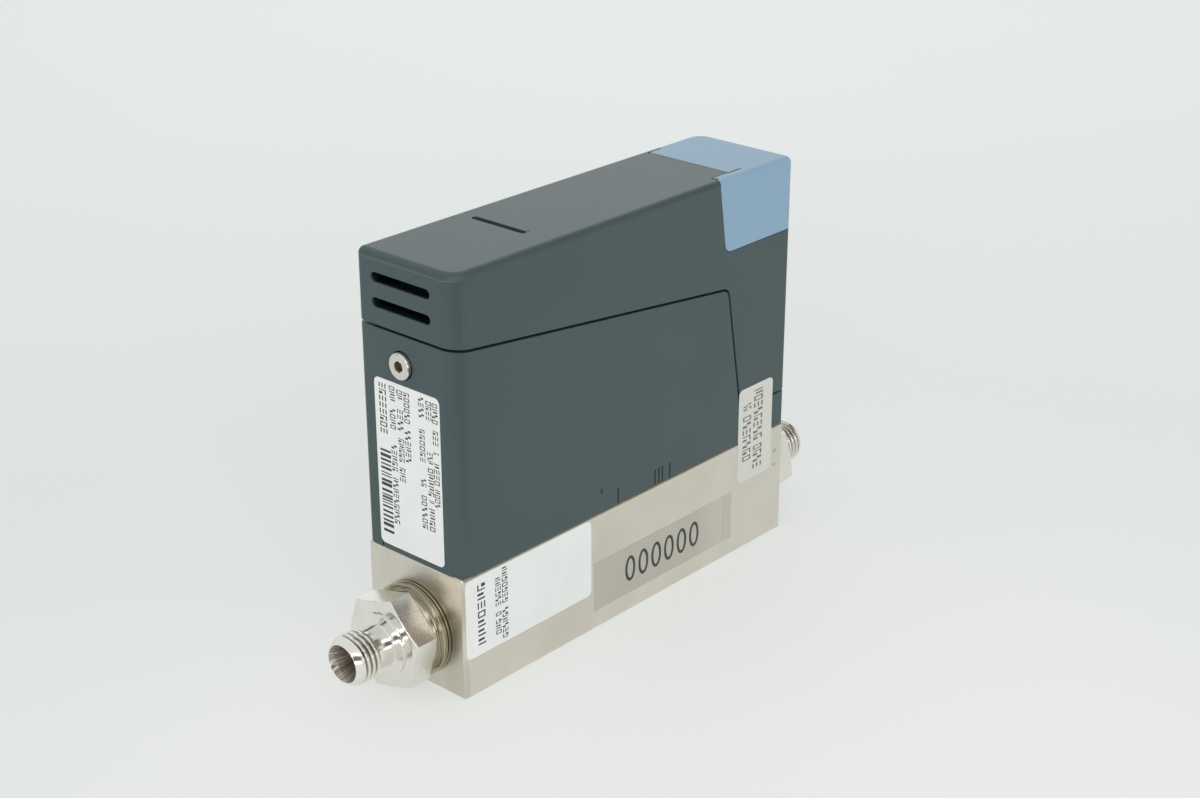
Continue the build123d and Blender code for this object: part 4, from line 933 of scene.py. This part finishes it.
labelCorner = 1.3
labelSheets = {      # across, along: the two sides in mm; stand: where local x, y and z point
    "front": {"x": (-66.8, -29.2), "y": (-10.0, 8.9), "thick": 0.085,
              "node": "front_label", "slot": "label_white",
              "stand": ((0, 0, -1), (0, -1, 0), (-1, 0, 0)), "face": (-53.4, 0, 0)},
    "block": {"x": (9.1, 27.4), "y": (14.6, 52.8), "thick": 0.085,
              "node": "block_label", "slot": "label_white",
              "stand": ((0, 0, 1), (-1, 0, 0), (0, -1, 0)), "face": (0, -14.0, 0)},
    "seal": {"x": (-41.2, -17.5), "y": (36.4, 49.0), "thick": 0.085,
             "node": "seal_label", "slot": "label_white",
             "stand": ((0, 0, -1), (1, 0, 0), (0, -1, 0)), "face": (0, -14.0, 0)},
    "tape": {"x": (-13.6, 34.3), "y": (4.5, 16.3), "thick": 0.07,
             "node": "tape_label", "slot": "tape_clear",
             "stand": ((1, 0, 0), (0, 0, 1), (0, -1, 0)), "face": (0, -14.0, 0), "corner": 0.25},
}

# rows of plain marks: (low, high) across the row, then (from, to, how many) along it
labelRows = {
    "front": [
        ((6.8, 8.35), ((-65.7, -61.0, 4), (-59.75, -56.25, 3), (-55.0, -54.35, 1), (-52.6, -47.5, 4),
                       (-46.75, -42.5, 4))),
        ((5.0, 6.6), ((-65.7, -61.25, 4), (-54.5, -51.75, 3), (-51.0, -44.5, 5), (-43.75, -43.0, 1),
                      (-42.0, -36.5, 4))),
        ((2.9, 4.4), ((-66.0, -61.25, 4), (-59.0, -51.5, 6), (-48.0, -46.0, 2), (-44.25, -36.5, 6))),
        ((-1.35, 0.25), ((-65.7, -58.75, 6), (-57.5, -50.0, 6))),
        ((-3.4, -1.75), ((-65.7, -63.5, 2), (-61.5, -56.5, 4), (-55.0, -49.5, 5), (-48.5, -45.0, 3))),
        ((-5.6, -4.0), ((-66.0, -62.5, 3), (-61.0, -56.25, 4), (-53.0, -46.75, 5), (-45.5, -34.75, 9))),
        ((-8.65, -6.6), ((-66.0, -54.5, 8),)),
    ],
    "block": [
        ((47.2, 49.4), ((11.1, 25.9, 7),)),
        ((42.6, 44.2), ((11.6, 15.3, 3), (15.9, 17.0, 1), (18.3, 25.2, 6))),
        ((40.6, 42.2), ((10.0, 17.3, 6), (18.3, 27.0, 7))),
    ],
    "seal": [
        ((42.0, 45.25), ((-40.0, -26.75, 8), (-25.75, -19.5, 4))),
        ((38.0, 41.0), ((-37.25, -35.5, 2), (-34.25, -22.5, 7))),
    ],
    "tape": [],
}
labelStripes = {"across": (-9.0, -5.9), "along": (-51.0, -32.0), "least": 0.22, "most": 0.75, "seed": 11}
tapeZeros = {"count": 6, "first": (-1.65, 10.6), "pitch": 4.45, "width": 3.4, "height": 6.3, "stroke": 0.72,
             "thick": 0.02, "lift": 0.008}
markFill = 0.72         # share of its cell that a mark fills along the row
markThick = 0.014
markLift = 0.007        # middle of a mark's thickness above the sheet
# each mark is a few strokes in a cell one wide and one high: middle x, middle y, width, height
markShapes = (
    ((0, 0.42, 1, 0.16), (0, -0.42, 1, 0.16), (-0.4, 0, 0.2, 0.7), (0.4, 0, 0.2, 0.7)),
    ((0, 0.42, 1, 0.16), (0, 0, 1, 0.16), (0, -0.42, 1, 0.16)),
    ((-0.36, 0, 0.24, 1), (0.3, 0.1, 0.36, 0.8)),
    ((-0.25, 0.25, 0.5, 0.5), (0.25, -0.25, 0.5, 0.5)),
    ((0, 0.42, 1, 0.16), (-0.4, -0.05, 0.2, 0.9), (0.25, -0.25, 0.5, 0.5)),
)


def sheetMesh(name, sheet):
    # thin film with rounded corners, its printed face towards local +Z
    x0, x1 = sheet["x"]
    y0, y1 = sheet["y"]
    corner, thick, edge = sheet.get("corner", labelCorner), sheet["thick"], 0.03
    b = bmesh.new()
    levels = []
    for height, inset in ((0, 0), (thick - edge, 0), (thick, edge)):
        ring = []
        for cornerX, cornerY, first in ((x1 - corner, y1 - corner, 0), (x0 + corner, y1 - corner, 90),
                                        (x0 + corner, y0 + corner, 180), (x1 - corner, y0 + corner, 270)):
            for step in range(9):
                turn = math.radians(first + step * 90 / 8)
                reach = corner - inset
                ring.append(b.verts.new(((cornerX + reach * math.cos(turn)) * mm,
                                         (cornerY + reach * math.sin(turn)) * mm, height * mm)))
        levels.append(ring)
    bridge(b, levels)
    b.faces.new(levels[-1])
    b.faces.new(levels[0][::-1])
    return meshFrom(b, name)


def labelPlace(sheet):
    across = Matrix(sheet["stand"]).transposed().to_4x4()
    return Matrix.Translation([c * mm for c in sheet["face"]]) @ across


caseFoot = 28.2
caseSetBack = 0.1


def foldOverStep(mesh):
    # the seal runs up from the block on to the case, which is set back a little
    b = bmesh.new()
    b.from_mesh(mesh)
    for height in (caseFoot - 0.3, caseFoot + 0.3):
        whole = b.verts[:] + b.edges[:] + b.faces[:]
        bmesh.ops.bisect_plane(b, geom=whole, plane_co=(0, 0, height * mm), plane_no=(0, 0, 1))
    for v in b.verts:
        if v.co.z > caseFoot * mm:
            v.co.y += caseSetBack * mm
    b.to_mesh(mesh)
    b.free()


def marksTree():
    # sets a random mark, or a plain bar, on each point, as wide and as high as the point says
    tree, start = startTree("labelMarks", whole=("Seed",))
    size = addNode(tree, "GeometryNodeInputNamedAttribute", data_type="FLOAT_VECTOR")
    size.inputs["Name"].default_value = "markSize"
    plain = addNode(tree, "GeometryNodeInputNamedAttribute", data_type="BOOLEAN")
    plain.inputs["Name"].default_value = "plainBar"
    lettered = addNode(tree, "FunctionNodeBooleanMath", operation="NOT")
    join(tree, plain.outputs["Attribute"], lettered.inputs[0])
    shapes = addNode(tree, "GeometryNodeJoinGeometry")
    for strokes in markShapes:
        joined = addNode(tree, "GeometryNodeJoinGeometry")
        for x, y, width, height in strokes:
            stroke = addNode(tree, "GeometryNodeMeshCube")
            stroke.inputs["Size"].default_value = (width, height, 1)
            moved = addNode(tree, "GeometryNodeTransform")
            moved.inputs["Translation"].default_value = (x, y, 0)
            join(tree, stroke.outputs["Mesh"], moved.inputs["Geometry"])
            join(tree, moved.outputs[0], joined.inputs[0])
        single = addNode(tree, "GeometryNodeGeometryToInstance")
        join(tree, joined.outputs[0], single.inputs[0])
        join(tree, single.outputs[0], shapes.inputs[0])
    pick = addNode(tree, "FunctionNodeRandomValue", data_type="INT")
    pick.inputs[4].default_value = 0
    pick.inputs[5].default_value = len(markShapes) - 1
    join(tree, start.outputs["Seed"], pick.inputs["Seed"])
    bar = addNode(tree, "GeometryNodeMeshCube")
    both = addNode(tree, "GeometryNodeJoinGeometry")
    for wanted, shape, choice in ((lettered.outputs[0], shapes.outputs[0], pick.outputs[2]),
                                  (plain.outputs["Attribute"], bar.outputs["Mesh"], None)):
        onPoints = addNode(tree, "GeometryNodeInstanceOnPoints")
        join(tree, start.outputs["Geometry"], onPoints.inputs["Points"])
        join(tree, wanted, onPoints.inputs["Selection"])
        join(tree, shape, onPoints.inputs["Instance"])
        join(tree, size.outputs["Attribute"], onPoints.inputs["Scale"])
        join(tree, onPoints.outputs[0], both.inputs[0])
        if choice is not None:
            onPoints.inputs["Pick Instance"].default_value = True
            join(tree, choice, onPoints.inputs["Instance Index"])
    return closeTree(tree, both.outputs[0], start)


def zerosTree():
    # a row of equal oval rings
    tree, start = startTree("plainZeros", whole=("Count",),
                            sizes=("Pitch", "Width", "Height", "Stroke", "Thick"))
    line = addNode(tree, "GeometryNodeMeshLine", mode="OFFSET")
    join(tree, start.outputs["Count"], line.inputs["Count"])
    join(tree, gather(tree, start.outputs["Pitch"]), line.inputs["Offset"])
    circle = addNode(tree, "GeometryNodeCurvePrimitiveCircle", mode="RADIUS")
    circle.inputs["Resolution"].default_value = 40
    circle.inputs["Radius"].default_value = 0.5
    oval = addNode(tree, "GeometryNodeTransform")
    join(tree, circle.outputs["Curve"], oval.inputs["Geometry"])
    stroke = start.outputs["Stroke"]
    size = addNode(tree, "ShaderNodeCombineXYZ")
    join(tree, calc(tree, "SUBTRACT", start.outputs["Width"], stroke), size.inputs["X"])
    join(tree, calc(tree, "SUBTRACT", start.outputs["Height"], stroke), size.inputs["Y"])
    size.inputs["Z"].default_value = 1
    join(tree, size.outputs[0], oval.inputs["Scale"])
    section = addNode(tree, "GeometryNodeCurvePrimitiveQuadrilateral", mode="RECTANGLE")
    join(tree, stroke, section.inputs["Width"])
    join(tree, start.outputs["Thick"], section.inputs["Height"])
    ring = addNode(tree, "GeometryNodeCurveToMesh")
    join(tree, oval.outputs[0], ring.inputs["Curve"])
    join(tree, section.outputs["Curve"], ring.inputs["Profile Curve"])
    onPoints = addNode(tree, "GeometryNodeInstanceOnPoints")
    join(tree, line.outputs["Mesh"], onPoints.inputs["Points"])
    join(tree, ring.outputs["Mesh"], onPoints.inputs["Instance"])
    return closeTree(tree, onPoints.outputs[0], start)


def marksMesh(name, rows, bars, height):
    # one loose vertex for each mark, with its size
    places, sizes, plain = [], [], []
    for (low, high), words in rows:
        for first, last, count in words:
            step = (last - first) / count
            for i in range(count):
                places.append((first + (i + 0.5) * step, (low + high) / 2, height))
                sizes.append((step * markFill, high - low, markThick))
                plain.append(False)
    for (low, high), (first, last) in bars:
        places.append(((first + last) / 2, (low + high) / 2, height))
        sizes.append((last - first, high - low, markThick))
        plain.append(True)
    mesh = bpy.data.meshes.new(name)
    mesh.from_pydata([[c * mm for c in place] for place in places], [], [])
    size = mesh.attributes.new("markSize", "FLOAT_VECTOR", "POINT")
    size.data.foreach_set("vector", [c * mm for s in sizes for c in s])
    flag = mesh.attributes.new("plainBar", "BOOLEAN", "POINT")
    flag.data.foreach_set("value", plain)
    return mesh


def stripeBars():
    s = labelStripes
    chance = random.Random(s["seed"])
    bars, at = [], s["along"][0]
    while at < s["along"][1]:
        wide = chance.uniform(s["least"], s["most"])
        bars.append((s["across"], (at, min(at + wide, s["along"][1]))))
        at += wide + chance.uniform(s["least"], s["most"])
    return bars


labelMarks = marksTree()
plainBars = {"front": stripeBars(), "block": [], "seal": [], "tape": []}
inks = {"front": labelInk, "block": labelInk, "seal": sealInk}
for seed, (name, sheet) in enumerate(labelSheets.items()):
    mesh = sheetMesh(name + "LabelSheet", sheet)
    mesh.transform(labelPlace(sheet))
    if name == "seal":
        foldOverStep(mesh)
    film = sealFilm if name == "seal" else finishes[sheet["slot"]]
    finishPiece(newPiece(name + "LabelSheet", mesh), material=film, replacing=[sheet["node"]])
    if not labelRows[name] and not plainBars[name]:
        continue
    marks = marksMesh(name + "Marks", labelRows[name], plainBars[name], sheet["thick"] + markLift)
    piece = newPiece(name + "LabelMarks", marks)
    mesh = runTree(piece, labelMarks, {"Seed": seed + 3, "Finish": inks[name]})
    mesh.transform(labelPlace(sheet))
    if name == "seal":
        foldOverStep(mesh)
    finishPiece(piece, material=inks[name])
    print(name, "label marks:", len(mesh.polygons), "faces")

piece = newPiece("tapeZeros", bpy.data.meshes.new("tapeZeros"))
mesh = runTree(piece, zerosTree(), {
    "Count": tapeZeros["count"],
    "Pitch": tapeZeros["pitch"] * mm,
    "Width": tapeZeros["width"] * mm,
    "Height": tapeZeros["height"] * mm,
    "Stroke": tapeZeros["stroke"] * mm,
    "Thick": tapeZeros["thick"] * mm,
    "Finish": labelInk})
tape = labelSheets["tape"]
firstX, firstY = tapeZeros["first"]
middleHeight = tape["thick"] + tapeZeros["lift"]
mesh.transform(labelPlace(tape) @ Matrix.Translation((firstX * mm, firstY * mm, middleHeight * mm)))
facesOutward(mesh)
finishPiece(piece, material=labelInk)
print("tape zeros:", len(mesh.polygons), "faces")


studio = {
    "floor": (0.80, 0.825, 0.815),
    "floorTone": (0.785, 0.825, 0.805),
    "floorLightPools": (      # middle, reach in metres, lighter tone: painted pools of light behind the object and in front of it
        ((0.50, 0.42, 0), 0.75, (0.905, 0.94, 0.925)),
        ((-0.05, -0.09, 0), 0.24, (0.945, 0.955, 0.925)),
    ),
    "floorGlow": 0.55,                        # share of that tone that no shadow reaches
    "backdrop": (0.80, 0.835, 0.825),
    "domeLevel": 0.72,
    "lamps": (      # name, place, size, power, colour
        ("frontLamp", (-0.86, -0.90, 0.50), 1.0, 6.4, (1, 1, 1)),
        ("backLamp", (0.85, 0.76, 0.55), 0.8, 1.0, (0.93, 1.0, 0.99)),
    ),
    "lampTarget": (0, 0, 0.05),
    # name, place, what it faces, width, height, colour: seen in polished and satin surfaces alone
    "cards": (
        ("darkCardBehind", (-0.69, -0.76, 0.42), (0, 0, 0.03), 0.75, 0.42, (0.05, 0.05, 0.05)),
        ("warmCardAbove", (0.60, -0.34, 0.56), (0, 0, 0.03), 0.80, 0.62, (0.23, 0.185, 0.135)),
        ("darkCardLeft", (-0.66, 0.82, 0.34), (0, 0, 0.03), 0.5, 0.3, (0.07, 0.065, 0.06)),
        ("darkCardRight", (0.62, -0.72, 0.24), (0, 0, 0.03), 0.36, 0.16, (0.08, 0.07, 0.06)),
        ("darkCardLow", (-0.25, -0.26, 0.012), (-0.25, -0.26, 1), 0.38, 0.38, (0.04, 0.04, 0.04)),
    ),
}


def shownShare(tree):
    # 1 for what the camera, polished steel or clear film sees, 0 for light on its way to the object
    rays = addNode(tree, "ShaderNodeLightPath")
    seen = calc(tree, "ADD", rays.outputs["Is Camera Ray"], rays.outputs["Is Glossy Ray"])
    return calc(tree, "ADD", seen, rays.outputs["Is Transmission Ray"], clamp=True)


def addFloor():
    mesh = bpy.data.meshes.new("studioFloor")
    b = bmesh.new()
    bmesh.ops.create_grid(b, x_segments=2, y_segments=2, size=3.0)
    b.to_mesh(mesh)
    b.free()
    floor = newPiece("studioFloor", mesh)
    material, tree, shader = newMaterial("floorPaper", studio["floor"], rough=0.75)
    place = objectPlace(tree)
    clouds = grain(tree, place, 3.0, detail=2)
    paper = blendColour(tree, clouds, shade(studio["floor"], 0.985), shade(studio["floor"], 1.015))
    join(tree, paper, shader.inputs["Base Color"])
    shader.inputs["Specular IOR Level"].default_value = 0.2
    tone = blendColour(tree, clouds, shade(studio["floorTone"], 0.99), shade(studio["floorTone"], 1.01))
    # painted pools of light in the floor's tone
    for middle, reach, lighter in studio["floorLightPools"]:
        far = addNode(tree, "ShaderNodeVectorMath", operation="DISTANCE")
        join(tree, place, far.inputs[0])
        far.inputs[1].default_value = middle
        near = spread(tree, far.outputs["Value"], 1, 0, reach * 0.1, reach, smooth=True)
        tone = mixColour(tree, near, tone, lighter)
    glow = addNode(tree, "ShaderNodeEmission")
    join(tree, tone, glow.inputs["Color"])
    glow.inputs["Strength"].default_value = 1.0
    mix = addNode(tree, "ShaderNodeMixShader")
    join(tree, times(tree, shownShare(tree), studio["floorGlow"]), mix.inputs[0])
    join(tree, shader.outputs[0], mix.inputs[1])
    join(tree, glow.outputs[0], mix.inputs[2])
    join(tree, mix.outputs[0], tree.nodes["Material Output"].inputs["Surface"])
    mesh.materials.append(material)


def addWorld():
    world = bpy.data.worlds.new("studio")
    bpy.context.scene.world = world
    world.use_nodes = True
    tree = world.node_tree
    tree.nodes.clear()
    light = addNode(tree, "ShaderNodeBackground")
    light.inputs["Color"].default_value = (1.0, 1.0, 1.0, 1)
    light.inputs["Strength"].default_value = studio["domeLevel"]
    shown = addNode(tree, "ShaderNodeBackground")
    shown.inputs["Color"].default_value = (*studio["backdrop"], 1)
    shown.inputs["Strength"].default_value = 1.0
    mix = addNode(tree, "ShaderNodeMixShader")
    join(tree, shownShare(tree), mix.inputs[0])
    join(tree, light.outputs[0], mix.inputs[1])
    join(tree, shown.outputs[0], mix.inputs[2])
    out = addNode(tree, "ShaderNodeOutputWorld")
    join(tree, mix.outputs[0], out.inputs["Surface"])


def facing(place, target):
    return (Vector(target) - Vector(place)).to_track_quat("-Z", "Y")


def addLamp(name, place, size, power, colour):
    data = bpy.data.lights.new(name, "AREA")
    data.shape = "SQUARE"
    data.size = size
    data.energy = power
    data.color = colour
    lamp = bpy.data.objects.new(name, data)
    lamp.location = place
    lamp.rotation_euler = facing(place, studio["lampTarget"]).to_euler()
    lamp.visible_camera = False
    bpy.context.scene.collection.objects.link(lamp)


def addCard(name, place, target, width, height, colour):
    mesh = bpy.data.meshes.new(name)
    x, y = width / 2, height / 2
    mesh.from_pydata([(-x, -y, 0), (x, -y, 0), (x, y, 0), (-x, y, 0)], [], [(0, 1, 2, 3)])
    mesh.transform(Matrix.Translation(place) @ facing(place, target).to_matrix().to_4x4())
    card = newPiece(name, mesh)
    material, tree, shader = newMaterial(name, (0, 0, 0), rough=1.0)
    tone = grain(tree, objectPlace(tree), 9.0, detail=3, rough=0.6)
    glow = blendColour(tree, tone, shade(colour, 0.45), shade(colour, 1.5))
    join(tree, glow, shader.inputs["Emission Color"])
    shader.inputs["Emission Strength"].default_value = 1.0
    mesh.materials.append(material)
    card.visible_camera = card.visible_diffuse = card.visible_shadow = card.visible_transmission = False


camera = {"eye": (-0.3085, -0.2804, 0.2283), "heading": 48.09, "dip": 23.49, "lens": 61.74, "sensor": 36}


def addCamera():
    # heading is degrees from +Y towards +X, dip degrees below the level
    eye = Vector(camera["eye"])
    heading, dip = math.radians(camera["heading"]), math.radians(camera["dip"])
    ahead = Vector((math.sin(heading) * math.cos(dip), math.cos(heading) * math.cos(dip), -math.sin(dip)))
    right = ahead.cross(Vector((0, 0, 1))).normalized()
    up = right.cross(ahead)
    data = bpy.data.cameras.new("camera")
    data.sensor_width = camera["sensor"]
    data.lens = camera["lens"]
    data.clip_start = 0.01
    view = bpy.data.objects.new("camera", data)
    view.matrix_world = Matrix.Translation(eye) @ Matrix((right, up, -ahead)).transposed().to_4x4()
    bpy.context.scene.collection.objects.link(view)
    bpy.context.scene.camera = view


addFloor()
addWorld()
for lamp in studio["lamps"]:
    addLamp(*lamp)
for card in studio["cards"]:
    addCard(*card)
addCamera()
bpy.context.scene.view_settings.view_transform = "Standard"
print("floor, lamps, cards and camera set")
